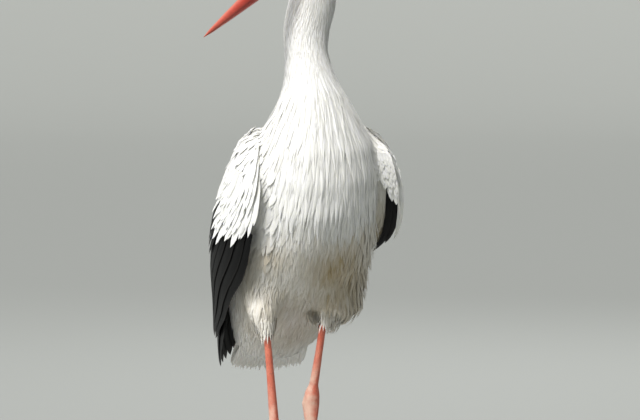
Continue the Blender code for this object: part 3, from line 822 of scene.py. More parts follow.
class Surface:
    """The skin as something to lay feathers on."""

    def __init__(self, skin):
        self.uv = unwrapped(skin)
        mesh = skin.data
        mesh.calc_loop_triangles()
        self.points, self.normals = arrays(mesh)
        self.tri, self.tri_loops = np.empty((2, len(mesh.loop_triangles), 3), np.int32)
        mesh.loop_triangles.foreach_get("vertices", self.tri.reshape(-1))
        mesh.loop_triangles.foreach_get("loops", self.tri_loops.reshape(-1))
        self.tree = BVHTree.FromPolygons(
            [tuple(p) for p in self.points], [tuple(t) for t in self.tri.tolist()]
        )
        self.face_normal = unit(self.normals[self.tri].mean(1))
        self.face_lie = unit(self.lie_of_coat()[self.tri].mean(1))
        a, b, c = np.moveaxis(self.points[self.tri], 1, 0)
        self.area = np.linalg.norm(np.cross(b - a, c - a), axis=1) / 2

    def lie_of_coat(self):
        """Which way feathers point at each point of the skin, evened out over it."""
        points, normals = self.points, self.normals
        s, along, _ = along_body(points)
        head = head_share(points)[:, None]
        lie = along * (1 - head) - FORWARD * head
        thigh = (thigh_share(points) * ease(9.0, 9.8, s))[:, None]
        lie = lie * (1 - thigh) + np.array((0, 0.15, -1.0)) * thigh
        lie = across_face(lie, normals)
        for _ in range(LIE_ROUNDS):
            spread = np.zeros_like(lie)
            for a, b in ((0, 1), (1, 2), (2, 0)):
                np.add.at(spread, self.tri[:, a], lie[self.tri[:, b]])
                np.add.at(spread, self.tri[:, b], lie[self.tri[:, a]])
            lie = across_face(unit(spread), normals)
        return lie

    def nearest(self, points):
        """Nearest places on the skin and the faces that they're on."""
        found = [self.tree.find_nearest(Vector(p)) for p in points]
        return np.array([f[0] for f in found]), np.array([f[2] for f in found])

    def patches(self, faces, mix):
        """Where roots are on the unwrap."""
        return np.sum(self.uv[self.tri_loops[faces]] * mix[..., None], 1)

    def scatter(self, spacing, chance, count):
        """Roots over the skin no closer than spacing, which is a value at each vertex.
        chance is the share of roots kept at each vertex. Returns places, faces and mixes
        of the faces' corners."""
        spacing = spacing * FEWER + 0 * chance
        weight = self.area / np.maximum(spacing[self.tri].mean(1), 1e-4) ** 2
        weight = weight * (chance[self.tri].mean(1) > 0.02)
        faces = RNG.choice(len(self.tri), size=count, p=weight / weight.sum())
        u, v = RNG.random(count), RNG.random(count)
        flip = u + v > 1
        u, v = np.where(flip, 1 - u, u), np.where(flip, 1 - v, v)
        corner = self.tri[faces]
        mix = np.stack((1 - u - v, u, v), 1)
        at = np.sum(self.points[corner] * mix[..., None], 1)
        gap = np.sum(spacing[corner] * mix, 1)
        lucky = RNG.random(count) < np.sum(chance[corner] * mix, 1)
        kept = np.flatnonzero(lucky)[spaced_out(at[lucky], gap[lucky])]
        return at[kept], faces[kept], mix[kept]

    def walk(self, at, faces, length, rise, steps, sway, sag):
        """Centre lines of feathers that start at the roots and follow the lie of the coat.
        rise gives root and tip heights over the skin. sway turns each to one side."""
        sway, length = sway[:, None], (length / steps)[:, None]

        def swayed(normal):
            lie = self.face_lie[faces]
            return unit(lie * np.cos(sway) + np.cross(normal, lie) * np.sin(sway))

        normal = self.face_normal[faces]
        direction, foot = swayed(normal), at
        line, ups = [], []
        for k in range(steps + 1):
            lift = rise[0] + (rise[1] - rise[0]) * (k / steps) ** 1.25
            line.append(foot + normal * lift[:, None])
            ups.append(normal)
            if k == steps:
                break
            direction = unit(direction * 0.55 + swayed(normal) * 0.45)
            direction[:, 2] -= sag
            direction = across_face(direction, normal)
            foot, faces = self.nearest(foot + direction * length)
            normal = unit(normal * 0.5 + self.face_normal[faces] * 0.5)
        return np.stack(line, 1), np.stack(ups, 1)


# ---- feathers -----------------------------------------------------------------------
# Sections of a vane: places round it, as a share of half its width and of its thickness.
SLIM_VANE = ((-1.0, 0.0), (0.0, 0.6), (1.0, 0.0), (0.0, -0.4))
BROAD_VANE = ((-1.0, 0.0), (-0.5, 0.42), (0.0, 0.75), (0.5, 0.42), (1.0, 0.0), (0.0, -0.25))


def outline(kind, steps):
    """Half widths along a feather from root to tip, as a share of the widest."""
    t = np.linspace(0, 1, steps + 1)
    if kind == "lance":
        shape = np.sin(np.pi * np.clip(t * 0.92 + 0.07, 0, 1) ** 0.62) ** 0.9
    elif kind == "round":
        shape = np.sqrt(np.clip(1 - np.abs(2 * t**1.25 - 1.0) ** 2.8, 0, 1))
    else:  # a broad vane that ends in a soft point
        shape = np.clip(t / 0.25, 0.25, 1) ** 0.5 * np.clip((1 - t) / 0.38, 0, 1) ** 0.55
    return np.maximum(shape, 0.035)


def vanes(lines, ups, half_width, kind, section, thick, cup, ragged):
    """Closed thin vanes along centre lines. Returns points, faces, each point's place
    across and along its feather, and how many points a feather has."""
    count, rows, _ = lines.shape
    ring, around = len(section), np.array(section)
    forward = unit(np.gradient(lines, axis=1))
    side = unit(np.cross(forward, ups))
    up = unit(np.cross(side, forward))
    shape = outline(kind, rows - 1)
    width = (half_width[:, None] * shape)[..., None]
    fray = 1 + ragged * RNG.uniform(-1, 1, (count, rows, 2))
    spread = width * around[:, 0]
    spread = spread * np.where(around[:, 0] < 0, fray[..., :1], fray[..., 1:])
    hump = thick * around[:, 1] * np.minimum(shape * 2, 1)[:, None]
    rise = hump - cup * width * around[:, 0] ** 2
    points = lines[:, :, None] + side[:, :, None] * spread[..., None] + up[:, :, None] * rise[..., None]
    first = (np.arange(count) * rows * ring)[:, None, None]
    quads = [(np.roll(ring_faces(rows, ring), 1, 1) + first).reshape(-1, 4)]
    for k in range(0, ring - 2, 2):  # each end is closed by quads
        end = np.array([0, k + 1, k + 2, (k + 3) % ring])
        quads += [first[:, 0] + end[::-1], first[:, 0] + (rows - 1) * ring + end]
    u = np.broadcast_to((around[:, 0] + 1) / 2, (count, rows, ring))
    v = np.broadcast_to(np.linspace(0, 1, rows)[None, :, None], (count, rows, ring))
    return points.reshape(-1, 3), np.concatenate(quads), u.ravel(), v.ravel(), rows * ring


def shades(count, pale=0.0, dark=1.0):
    """How far each feather goes from the paler to the darker tint: few go far."""
    return pale + (dark - pale) * RNG.random(count) ** 1.5


class Coat:
    """Gathers vanes of one finish into pieces under a set number of triangles."""

    def __init__(self, name, finish, slot):
        self.name, self.finish, self.slot = name, finish, slot
        self.parts, self.triangles, self.made = [], 0, []

    def add(self, made, soil, tint, patch):
        triangles = len(made[1]) * 2
        if self.triangles + triangles > PIECE_TRIANGLES and self.parts:
            self.close()
        self.parts.append((*made, soil, tint, patch))
        self.triangles += triangles

    def close(self):
        points, quads, u, v, each, *own = zip(*self.parts)
        starts = np.cumsum([0] + [len(p) for p in points])
        corner = np.concatenate([q + start for q, start in zip(quads, starts)])
        soil, tint, patch = (
            np.concatenate([np.repeat(value, many, axis=0) for value, many in zip(kind, each)])
            for kind in own
        )
        name = f"{self.name}_{len(self.made) + 1}"
        inside = np.clip(np.concatenate(points), *map(np.array, CAD_BOX))
        mesh = mesh_from(name, inside, corner.tolist())
        give_values(mesh, "tint", tint)
        give_values(mesh, "soil", soil)
        lie = np.stack((np.concatenate(u), np.concatenate(v)), 1)
        for layer, flat in (("vane", lie), ("OFBake", patch + (lie - 0.5) * BAKE_PATCH)):
            flat = flat[corner.ravel()].astype(np.float32).ravel()
            mesh.uv_layers.new(name=layer).data.foreach_set("uv", flat)
        self.made.append(place(name, mesh, self.finish, self.slot))
        mesh.set_sharp_from_angle(angle=math.radians(60))
        self.parts, self.triangles = [], 0


def lay(coat, roots, length, half_width, rise, kind, section, thick, steps, sway, cup,
        ragged, dark=1.0, sag=0.0, turn=0.0):
    """Lays one feather from each root and adds them to the coat. Lengths, widths and rise
    are arrays. turn, with a spread of sway, sets feathers aside of the lie."""
    at, faces, mix = roots
    count = len(at)
    lines, ups = SKIN.walk(at, faces, length, rise, steps, RNG.normal(turn, sway, count), sag)
    tint = shades(count, dark=dark)
    soil = soil_and_shade_at(lines[:, steps // 2]) * varied(0.88, 1.1, count)
    patch = SKIN.patches(faces, mix)
    for start in range(0, count, AT_ONCE):
        part = slice(start, start + AT_ONCE)
        made = vanes(lines[part], ups[part], half_width[part], kind, section, thick, cup, ragged)
        coat.add(made, soil[part], tint[part], patch[part])


def bare_face(points):
    """1 on the bare black skin round the eyes and towards the bill."""
    away = points - BILL_ROOT
    behind, rise = -away @ FORWARD, away @ UP
    eye_reach = np.hypot((behind - EYE_BEHIND_BILL) / 0.0118, (rise - EYE_RISE) / 0.0098)
    streak = np.hypot((behind - 0.012) / 0.015, (rise - 0.0035) / 0.0035)
    mask = np.maximum(fade(0.85, 1.05, eye_reach), fade(0.8, 1.1, streak))
    return mask * (np.abs(away @ RIGHT) > 0.008)


def dress_body(coat):
    """Short feathers on the head, soft ones down the neck, long ones on the breast."""
    points = SKIN.points
    s, _, _ = along_body(points)
    head, (behind, off) = head_share(points), to_head(points)
    spacing = (0.0023 + 0.0019 * ease(3.0, 7.5, s)) * (1 - head)
    spacing += (0.0014 + 0.0009 * ease(0.02, 0.08, behind)) * head
    under_thigh = ease(0.3, 0.6, thigh_share(points)) * ease(0.75, 0.92, -SKIN.normals[:, 2])
    chance = fade(0.4, 0.8, wing_cover(points)) * (1 - bare_face(points))
    chance = chance * (1 - under_thigh) * ((behind > 0.002) | (off > 0.04))
    at, faces, mix = SKIN.scatter(spacing, chance, BODY_TRIES)
    count = len(at)
    s, _, front = along_body(at)
    head, (behind, _) = head_share(at), to_head(at)
    belly, crown = ease(-0.4, 0.5, front), ease(0.01, 0.08, behind)
    thigh = thigh_share(at) * ease(9.0, 9.8, s)

    length = 0.019 + 0.010 * ease(1.5, 4.5, s) + 0.013 * ease(4.5, 7.0, s)
    length += 0.012 * ease(5.0, 7.0, s) * belly + 0.012 * ease(10.5, 12.5, s)
    length = length * (1 - 0.3 * thigh) * (1 - head) + (0.0046 + 0.0074 * crown) * head
    length = length * varied(0.85, 1.15, count)
    half = 0.0010 + 0.0008 * ease(2.5, 5, s) + 0.0021 * ease(5.5, 8.0, s)
    half = half - 0.0013 * ease(8.2, 9.6, s)
    half = half * (1 - head) + (0.00055 + 0.0004 * crown) * head
    tip = 0.0012 + 0.0007 * ease(3, 7, s) + 0.0022 * ease(9, 12, s)
    tip = (tip * (1 - head) + (0.0005 + 0.0005 * crown) * head) * varied(0.6, 1.15, count)
    for wing in WINGS:  # pressed flat under the quills
        gap, _, _ = wing.locate(at, secondary_end)
        tip = tip * (0.45 + 0.55 * ease(0.008, 0.020, gap))
    tucked = np.full(count, -0.0005)
    on_head = head > 0.5
    kinds = (
        # which, steps, sway, cup, ragged, thickness
        (on_head, 4, 0.12, 0.10, 0.10, 0.00025),
        (~on_head & (s < 4.5), 5, 0.07, 0.08, 0.14, 0.00025),
        (~on_head & (s >= 4.5) & (s < 8.4), 6, 0.09, 0.08, 0.14, 0.00040),
        (~on_head & (s >= 8.4), 6, 0.15, 0.08, 0.16, 0.00040),
    )
    for some, steps, sway, cup, ragged, thick in kinds:
        lay(
            coat, (at[some], faces[some], mix[some]), length[some], half[some],
            (tucked[some], tip[some]), "lance", SLIM_VANE, thick, steps, sway, cup, ragged,
        )


def dress_ruff(coat):
    """Long pointed plumes that hang from the lower neck over the breast."""
    s, _, front = along_body(SKIN.points)
    zone = ease(4.6, 5.6, s) * fade(6.9, 7.6, s) * ease(-0.15, 0.35, front)
    zone = zone * fade(0.3, 0.7, wing_cover(SKIN.points))
    roots = SKIN.scatter(0.0080, zone, RUFF_TRIES)
    count = len(roots[0])
    grown = ease(5, 7, along_body(roots[0])[0])
    lay(
        coat, roots, (0.044 + 0.026 * grown) * varied(0.85, 1.2, count),
        (0.0030 + 0.0018 * grown) * varied(0.75, 1.2, count),
        (0.0003, 0.0030 * varied(0.5, 1.1, count)), "lance", BROAD_VANE, 0.0006, 9,
        0.09, 0.09, 0.12, dark=0.7, sag=0.12,
    )


def dress_shoulder(coat):
    """Broader feathers over the bend of the right wing, between the breast's coat and
    the coverts, and small ones round the front edge of the left wing."""
    for wing, spacing, size in ((RIGHT_WING, 0.0062, 1.0), (LEFT_WING, 0.0042, 0.62)):
        gap, place_at, across = wing.locate(SKIN.points)
        if wing is RIGHT_WING:
            bend = ease(0.20, 0.45, across) * fade(2.0, 2.5, place_at)
            edge = ease(0.72, 0.84, across) * fade(2.7, 3.1, place_at)
            zone = fade(0.012, 0.026, gap) * np.maximum(bend, edge)
        else:
            zone = fade(0.020, 0.032, gap) * ease(0.78, 0.88, across)
            zone = zone * fade(1.9, 2.4, place_at)
        roots = SKIN.scatter(spacing, zone, SHOULDER_TRIES)
        count = len(roots[0])
        grown = ease(0.6, 2.2, wing.locate(roots[0])[1])
        lay(
            coat, roots, size * (0.026 + 0.020 * grown) * varied(0.8, 1.25, count),
            (0.0034 + 0.0022 * grown) * varied(0.8, 1.2, count) * size**0.3,
            (0.0004, size * 0.0056 * varied(0.55, 1.1, count)), "soft", SLIM_VANE, 0.0006, 7,
            0.14, 0.10, 0.16, dark=0.6, turn=-0.08 * (wing is RIGHT_WING),
        )


def dress_flank(coat):
    """Loose tufts over the thighs and the sides of the belly, held out a little."""
    p = SKIN.points - SHIFT
    zone = ease(0.050, 0.075, np.abs(p[:, 0])) * ease(0.360, 0.385, p[:, 2])
    zone = zone * fade(0.470, 0.510, p[:, 2])
    for wing in WINGS:  # none press through the quills that lie over them
        zone = zone * ease(0.016, 0.040, wing.locate(SKIN.points, secondary_end)[0])
    roots = SKIN.scatter(0.0064, zone, FLANK_TRIES)
    count = len(roots[0])
    held_out = 0.0042 + 0.0060 * ease(0.06, 0.09, roots[0][:, 0] - SHIFT[0])
    lay(
        coat, roots, 0.040 * varied(0.75, 1.25, count), 0.0030 * varied(0.8, 1.2, count),
        (0.0008, held_out * varied(0.4, 1.1, count)), "lance", SLIM_VANE, 0.0005, 7,
        0.18, 0.10, 0.16, dark=0.8, sag=0.10,
    )


def leg_top(side):
    """Middle of the top of the bare leg, where it comes out of the thigh."""
    points, _ = arrays(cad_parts["tibia_" + side].data)
    return points[points[:, 2] > points[:, 2].max() - 0.006].mean(0)


def dress_thighs(coat):
    """Fine feathers that hang from each thigh and close in round the top of the leg."""
    points, steps = SKIN.points, 6
    for side in ("left", "right"):
        (_, _, end), _ = corners("thigh_" + side)
        axis = leg_top(side)
        outer = np.sign(axis[0] - SHIFT[0])
        near = np.linalg.norm((points - axis)[:, :2], axis=1)
        zone = fade(0.014, 0.026, near) * fade(end + 0.012, end + 0.028, points[:, 2])
        zone = zone * fade(0.020, 0.032, -outer * (points[:, 0] - axis[0]))
        zone = zone * (np.sign(points[:, 0] - SHIFT[0]) == outer)
        at, faces, mix = SKIN.scatter(0.0030, zone, THIGH_TRIES)
        count = len(at)
        stop = end + 0.002 + varied(-0.010, 0.020, count)
        fall = np.maximum(at[:, 2] - stop, 0.018) * varied(0.9, 1.1, count)
        fall = np.minimum(fall, 0.028)
        share = np.linspace(0, 1, steps + 1)[None, :, None]
        aside = (at - axis) * (1, 1, 0)
        reach = np.linalg.norm(aside, axis=1, keepdims=True)
        target = unit(aside) * np.maximum(reach * 0.72, 0.0080)
        lines = at[:, None] + (target - aside)[:, None] * share**1.3
        lines = lines - np.array((0, 0, 1.0)) * fall[:, None, None] * share
        outward = unit(aside + np.array((0, 0, 1e-4)))[:, None]
        bow = np.sin(np.pi * share) * 0.0018 - 0.0016 * (1 - share) + 0.0008
        lines = lines + outward * bow
        half = 0.0015 * varied(0.8, 1.2, count)
        ups = np.broadcast_to(outward, lines.shape)
        coat.add(
            vanes(lines, ups, half, "lance", SLIM_VANE, 0.0004, 0.1, 0.14),
            # Stain, with painted shade on the thighs.
            0.6 * soil_and_shade_at(lines[:, steps // 2]) * varied(0.75, 1.2, count),
            RNG.random(count) * 0.8, SKIN.patches(faces, mix),
        )


# ---- wings --------------------------------------------------------------------------
def patches_under(lines):
    """Where the skin nearest to each feather's root is on the unwrap."""
    _, faces = SKIN.nearest(lines[:, 0])
    return SKIN.patches(faces, np.full((len(faces), 3), 1 / 3))


def lay_on_wing(coat, wing, at, across, depth, half_width, kind="soft", thick=0.0012, steps=8,
                cup=0.10, ragged=0.05, roof=0.04, tint=(0, 1), soil=0.0, front=False):
    """Vanes on a folded wing. at, across and depth each give a root and a tip. roof tucks
    each feather's edge under the neighbour nearer the spine. front is for vanes that
    close the wing's front edge and face the way it does."""
    share = np.linspace(0, 1, steps + 1)[None, :]
    at, across, depth = np.broadcast_arrays(*(
        np.asarray(root)[..., None] + (np.asarray(tip) - root)[..., None] * share**power
        for (root, tip), power in ((at, 1), (across, 1), (depth, 1.2))
    ))
    lines = wing.point(at, across, depth)
    outward = unit(lines - wing.point(at, across, depth + 0.002))
    lower = unit(wing.point(at, across + 0.02, depth) - wing.point(at, across - 0.02, depth))
    ups = lower if front else unit(outward - lower * roof)
    count = len(lines)
    tints = shades(count, *tint)
    coat.add(
        vanes(lines, ups, np.broadcast_to(half_width, count), kind, BROAD_VANE, thick, cup, ragged),
        np.full(count, soil, float), tints, patches_under(lines),
    )


def arc_width(wing, at, across, step):
    """Metres across the wing for a small share of its width."""
    a, b = (wing.point(at, across + side * step / 2, 0.003) for side in (-1, 1))
    return np.linalg.norm(b - a, axis=-1)


def white_end(across):
    """Row where the coverts end. Black shows from under the white halfway across."""
    return covert_end(across) - 0.50 * bell(across, 0.46, 0.13)


def lay_coverts(coat, wing):
    """White coverts and, beside the spine, long scapulars, small at the bend of the wing
    and long at the ends. Their tips are spread unevenly, and a last row ends them."""
    tries, last = 16000, 24
    across = RNG.random(tries)
    start = covert_start(across)
    tips = start + (white_end(across) - start) * RNG.random(tries) ** 0.85
    grown = ease(0.2, 3.6, tips)
    gap = (0.0046 + 0.0062 * grown) * FEWER
    kept = spaced_out(wing.point(tips, across, 0.003), gap)
    if wing is RIGHT_WING:
        kept = kept[RNG.random(len(kept)) > shoulder_share(tips[kept], across[kept])]
    row = (np.arange(last) + 0.5) / last + RNG.normal(0, 0.008, last)
    row = row[row < (0.78 if wing is RIGHT_WING else 1.0)]
    across = np.append(across[kept], row)
    tips = np.append(tips[kept], white_end(row) + RNG.normal(0, 0.05, len(row)))
    grown = np.append(grown[kept], np.ones(len(row)))
    count = len(tips)
    reach = (0.45 + 0.75 * grown) * varied(0.85, 1.15, count)
    roots = np.maximum(tips - reach, covert_start(across) - 0.08)
    half = (0.0038 + 0.0040 * grown) * varied(0.8, 1.15, count)
    lean = np.clip(across + RNG.normal(0, 0.014, count), 0, 1.01)
    tucked = 0.004 * ease(0.78, 0.94, across) * (wing is RIGHT_WING)
    tip_depth = 0.0001 + tucked + 0.0013 * RNG.random(count)
    small = grown < 0.35
    for some, kind, cup in ((small, "round", 0.16), (~small, "soft", 0.10)):
        lay_on_wing(
            coat, wing, (roots[some], tips[some]), (across[some], lean[some]),
            (0.0046 + tucked[some], tip_depth[some]), half[some], kind, 0.0007,
            cup=cup, roof=0.05, tint=(0, 0.8),
        )


# Long white feathers that hang over the wing's front edge: share across, row of the tip.
CURTAIN = (
    (0.50, 2.66), (0.54, 2.86), (0.58, 2.80), (0.62, 3.08), (0.66, 3.16), (0.70, 3.06),
    (0.74, 3.00), (0.77, 2.88), (0.80, 2.82), (0.83, 2.74), (0.86, 2.62), (0.89, 2.50),
    (0.92, 2.40),
)
LEFT_CURTAIN_END = 0.78  # the left wing's front edge has feathers of its own


def lay_curtain(coat, wing):
    across, tips = np.array([c for c in CURTAIN if wing is RIGHT_WING or c[0] < LEFT_CURTAIN_END]).T
    many = len(across)
    tucked = 0.0020 * ease(0.70, 0.92, across)
    for layer in range(5):
        shift = layer * 0.20
        jitter = RNG.normal(0, 0.010, many) + 0.018 * (layer % 2)
        late = RNG.normal(0, 0.05, many)
        lay_on_wing(
            coat, wing, (tips - 0.85 - shift, tips - shift + late),
            (across - 0.02 + jitter, across + jitter),
            (0.0085 + tucked, -0.0003 - 0.0001 * layer + tucked),
            0.0062 * varied(0.8, 1.15, many), thick=0.0006, steps=9, ragged=0.10, roof=0.05,
            tint=(0, 0.5),
        )


def lay_quills(coat, wing):
    """Black greater coverts, secondaries and primaries, each under the one before."""
    many = 9
    across = np.linspace(0.32, 0.64, many)
    tips = 3.55 + 0.25 * np.cos(9 * across) + RNG.normal(0, 0.05, many)
    half = arc_width(wing, tips, across, 0.36 / many) * 0.95
    lay_on_wing(
        coat, wing, (1.9, tips), (across, across), (0.0072, 0.0015), half,
        thick=0.0011, steps=12, cup=0.06, ragged=0.03, roof=0.10,
    )
    many = 15
    across = (np.arange(many) + 0.4) / many + RNG.normal(0, 0.008, many)
    across = across * (0.88 if wing is LEFT_WING else 0.955)  # breast and flank hide more
    tips = secondary_end(across) - 0.05 + RNG.normal(0, 0.05, many)
    roots = np.maximum(covert_end(across) - 1.1, 2.0 + 0.6 * ease(0.8, 1.0, across))
    half = arc_width(wing, (roots + tips) / 2, across, 1 / many) * 0.92
    lay_on_wing(
        coat, wing, (roots, tips), (across, across), (0.0066, 0.0034), half, steps=20,
        cup=0.09, ragged=0.03, roof=0.12,
    )
    many = 9
    across = 0.10 + 0.90 * (np.arange(many) + 0.5) / many
    tips = PRIMARY_TIP - 0.4 * np.abs(2 * across - 1.4) + RNG.normal(0, 0.03, many)
    half = arc_width(wing, 6.6, across, 0.9 / many) * 0.95
    lay_on_wing(
        coat, wing, (5.3, tips), (across, across), (0.0104, 0.0078), half,
        steps=16, cup=0.05, ragged=0.02, roof=0.14,
    )


# Black at the front edge of the left wing, which stands off the body: rows of the root
# and tip, depths of both below the outer face, and half the width, in metres.
EDGE_QUILLS = (
    (1.70, 3.62, 0.0175, 0.0120, 0.0070),
    (1.95, 3.30, 0.0100, 0.0075, 0.0045),
    (1.25, 1.78, 0.0250, 0.0245, 0.0020),
    (1.55, 2.02, 0.0100, 0.0090, 0.0019),
)
EDGE_START = 1.06  # first row of the front edge


def lay_front_edge(white, black, wing):
    """The left wing from in front: the lining between it and the body, tinted greyer and browner as
    painted shade that deepens further down, the black edge of the folded hand and white marginal
    coverts over both."""
    many = 5
    for row in range(8):
        deep = np.linspace(0.012, 0.036, many) + RNG.normal(0, 0.001, many)
        last = 3.35 + 0.45 * (deep - 0.012) / 0.024
        tips = np.minimum(2.00 + 0.30 * row, last) + RNG.normal(0, 0.05, many)
        lay_on_wing(
            white, wing, (tips - 0.70, tips), (0.925, 0.955),
            (deep - 0.001, deep), 0.0048, thick=0.0008, cup=0.12, ragged=0.12,
            # Darker tint and more brown row by row: painted shade on the lining, deeper lower down.
            tint=(0.6, 1.0), soil=0.12 + 0.09 * row, front=True,
        )
    roots, tips, first, last, half = np.array(EDGE_QUILLS).T
    lay_on_wing(
        black, wing, (roots, tips), (0.955, 0.985), (first, last), half,
        steps=14, cup=0.08, ragged=0.03, front=True,
    )
    many = 7
    for row in range(10):
        deep = np.linspace(0.004, 0.031, many) + RNG.normal(0, 0.0010, many)
        deep = deep + 0.0019 * (row % 2)
        lowest = 2.14 - 0.42 * ease(0.010, 0.031, deep)
        tips = lowest - 0.105 * row + RNG.normal(0, 0.03, many)
        roots = np.maximum(tips - varied(0.34, 0.42, many), EDGE_START)
        lay_on_wing(
            white, wing, (roots, np.maximum(tips, roots + 0.20)),
            (0.950, 0.996 - 0.0020 * row),
            (deep, deep + RNG.normal(0, 0.0010, many)), 0.0046 - 0.00015 * row,
            thick=0.0007, cup=0.12, ragged=0.10, tint=(0, 0.3), front=True,
        )
    lay_on_wing(
        white, wing, (np.array((1.70, 1.50)), np.array((3.10, 2.50))), (0.97, 1.0),
        (0.0025, 0.0010), 0.0040, thick=0.0008, steps=12, cup=0.15, ragged=0.08,
        tint=(0, 0.5), front=True,
    )


# ---- tail ---------------------------------------------------------------------------
TAIL_FEATHERS = 12
TAIL_ROOT, TAIL_TIP = 5.2, 8.16  # rows of a wing


def lay_on_tail(coat, roots, tips, off, lift, half_width, kind, thick, steps, ragged, soil,
                down=False):
    """Vanes down the tail. off is -1 to 1 across it, lift is the height over its middle."""
    count = len(roots)
    off = off[:, None]
    at = roots[:, None] + (tips - roots)[:, None] * np.linspace(0, 1, steps + 1)
    centre, _, side, back = line_frame(WING_CENTRES, at)
    share = np.clip((at - TAIL_ROOT) / (TAIL_TIP - TAIL_ROOT), 0, 1)
    spread = off * (0.043 + 0.013 * share)
    rise = 0.0018 - 0.012 * off**2 + lift
    lines = centre + side * spread[..., None] + back * rise[..., None]
    ups = -back if down else back
    coat.add(
        vanes(lines, ups, np.full(count, half_width), kind, BROAD_VANE, thick, 0.08, ragged),
        np.full(count, soil), RNG.random(count) * 0.5, patches_under(lines),
    )


def dress_tail(coat):
    """Twelve stacked quills, the middle pair on top, and soft coverts under and over
    them, which round the tail off."""
    off = 2 * (np.arange(TAIL_FEATHERS) + 0.5) / TAIL_FEATHERS - 1
    lay_on_tail(
        coat, np.full(TAIL_FEATHERS, TAIL_ROOT), TAIL_TIP - 0.60 * off**2, off,
        0.0050 * (1 - np.abs(off))[:, None], 0.0088, "round", 0.0012, 14, 0.03, 0.10,
    )
    tries, steps = 2600, 7
    off = RNG.uniform(-0.97, 0.97, tries)
    tips = 5.4 + (2.72 - 0.5 * off**2) * RNG.random(tries)
    spots = np.column_stack((off * 0.055, tips * 0.056, 0 * off))
    kept = spaced_out(spots, np.full(tries, 0.0046 * FEWER))
    off, tips = off[kept], tips[kept]
    roots = tips - varied(0.65, 0.95, len(off))
    share = np.linspace(0, 1, steps + 1)
    at = roots[:, None] + (tips - roots)[:, None] * share
    tip_lift = 0.0010 + 0.0016 * RNG.random(len(off))[:, None]
    below = (0.0020 + 0.026 * fade(6.1, 7.8, at)) * np.sqrt(1 - 0.9 * off[:, None] ** 2)
    hang = below + tip_lift * (2 * share - 1)
    lay_on_tail(
        coat, roots, tips, off, -hang, 0.0036, "lance", 0.0006, steps, 0.12, 0.12, down=True
    )
    for row in range(4):
        many = 7 + row % 2
        off = np.linspace(-0.8, 0.8, many) + RNG.normal(0, 0.03, many)
        tips = 7.3 - 0.5 * row - 0.3 * off**2 + RNG.normal(0, 0.04, many)
        lift = (0.0065 + 0.002 * (1 - off**2))[:, None]
        lay_on_tail(coat, tips - 1.2, tips, off, lift, 0.0085, "soft", 0.0008, 8, 0.10, 0.05)


# ---- head parts ---------------------------------------------------------------------
def loft(name, rings):
    """A closed mesh through rings of equal count, with a pole at each end."""
    rows, ring, _ = np.shape(rings)
    points = np.concatenate((*rings, rings[0].mean(0)[None], rings[-1].mean(0)[None]))
    pole = rows * ring
    faces = ring_faces(rows, ring).tolist() + fan(0, ring, pole) + fan(pole - ring, ring, pole + 1)
    return faced_out(mesh_from(name, points, faces))


def bill_ring(share, half_width, depth, upper):
    """One section of a bill half: its outline, its painted highlight along the ridge, and its painted
    shade along the gape, on the inner face and in the nostril slit.
    """
    angle = np.pi * np.arange(17) / 16
    slope = np.abs(angle - np.pi / 2)
    x = half_width * np.cos(angle)
    z = depth * np.sin(angle) ** 0.85 + 0.03 * depth * bell(slope, 0, 0.16)
    # pale: painted highlight along the ridge, strong on top of the upper half, faint under the lower.
    # dark: painted shade along the gape, most at the root.
    pale = bell(slope, 0, 0.42) * (0.8 if upper else 0.25)
    dark = 0.60 * bell(np.pi / 2 - slope, 0, 0.17) * (1 - 0.6 * share)
    if upper:  # a nostril slit in a shallow groove
        groove = bell(slope, 0.98, 0.13) * bell(share, 0.13, 0.16)
        slit = bell(slope, 0.98, 0.075) * bell(share, 0.115, 0.042, 4)
        cut = 1 - 0.05 * groove - 0.10 * slit
        x, z = x * cut, z * cut
        # Painted shade in the nostril slit.
        dark = np.maximum(dark, slit)
    inner = np.linspace(-1, 1, 17)[1:-1]
    x = np.append(x, half_width * 0.98 * inner)
    z = np.append(z, 0.0002 + 0 * inner) + 0.0001
    # The flat inner face at the gape gets painted shade.
    return x, z, np.append(pale, 0 * inner), np.append(dark, 0.6 + 0 * inner)


def make_bill():
    """Upper and lower horn that meet at the gape, with a nostril slit on each side."""
    shares = np.concatenate((np.linspace(0, 0.94, 44), np.linspace(0.955, 1.0, 7)))
    places = np.interp(shares, [r[0] for r in BILL_ROWS], np.arange(len(BILL_ROWS)))
    rows = row_at([r[1:] for r in BILL_ROWS], places)
    rows = rows * np.sqrt(np.clip((1.0005 - shares) / 0.06, 0, 1))[:, None]
    for name, upper, sign, shorter in (("bill_upper", True, 1, 1), ("bill_lower", False, -1, 0.993)):
        rings, painted_highlights, painted_shades = [], [], []
        for share, (half_width, above, below) in zip(shares, rows):
            x, z, pale, dark = bill_ring(share, half_width, above if upper else below, upper)
            centre = BILL_ROOT + FORWARD * (0.0002 + share * BILL_LENGTH * shorter)
            rings.append(centre + RIGHT * x[:, None] + UP * (sign * z)[:, None])
            painted_highlights.append(pale)
            painted_shades.append(dark)
        mesh = loft(name, rings)
        give_values(mesh, "reach", np.append(np.repeat(shares, len(rings[0])), (0, 1)))
        give_values(mesh, "rise", np.append(painted_highlights, (0, 0)))
        give_values(mesh, "pit", np.append(painted_shades, (0, 0)))
        place(name + "_horn", mesh, HORN, "red_horn", name)
        mesh.set_sharp_from_angle(angle=math.radians(50))


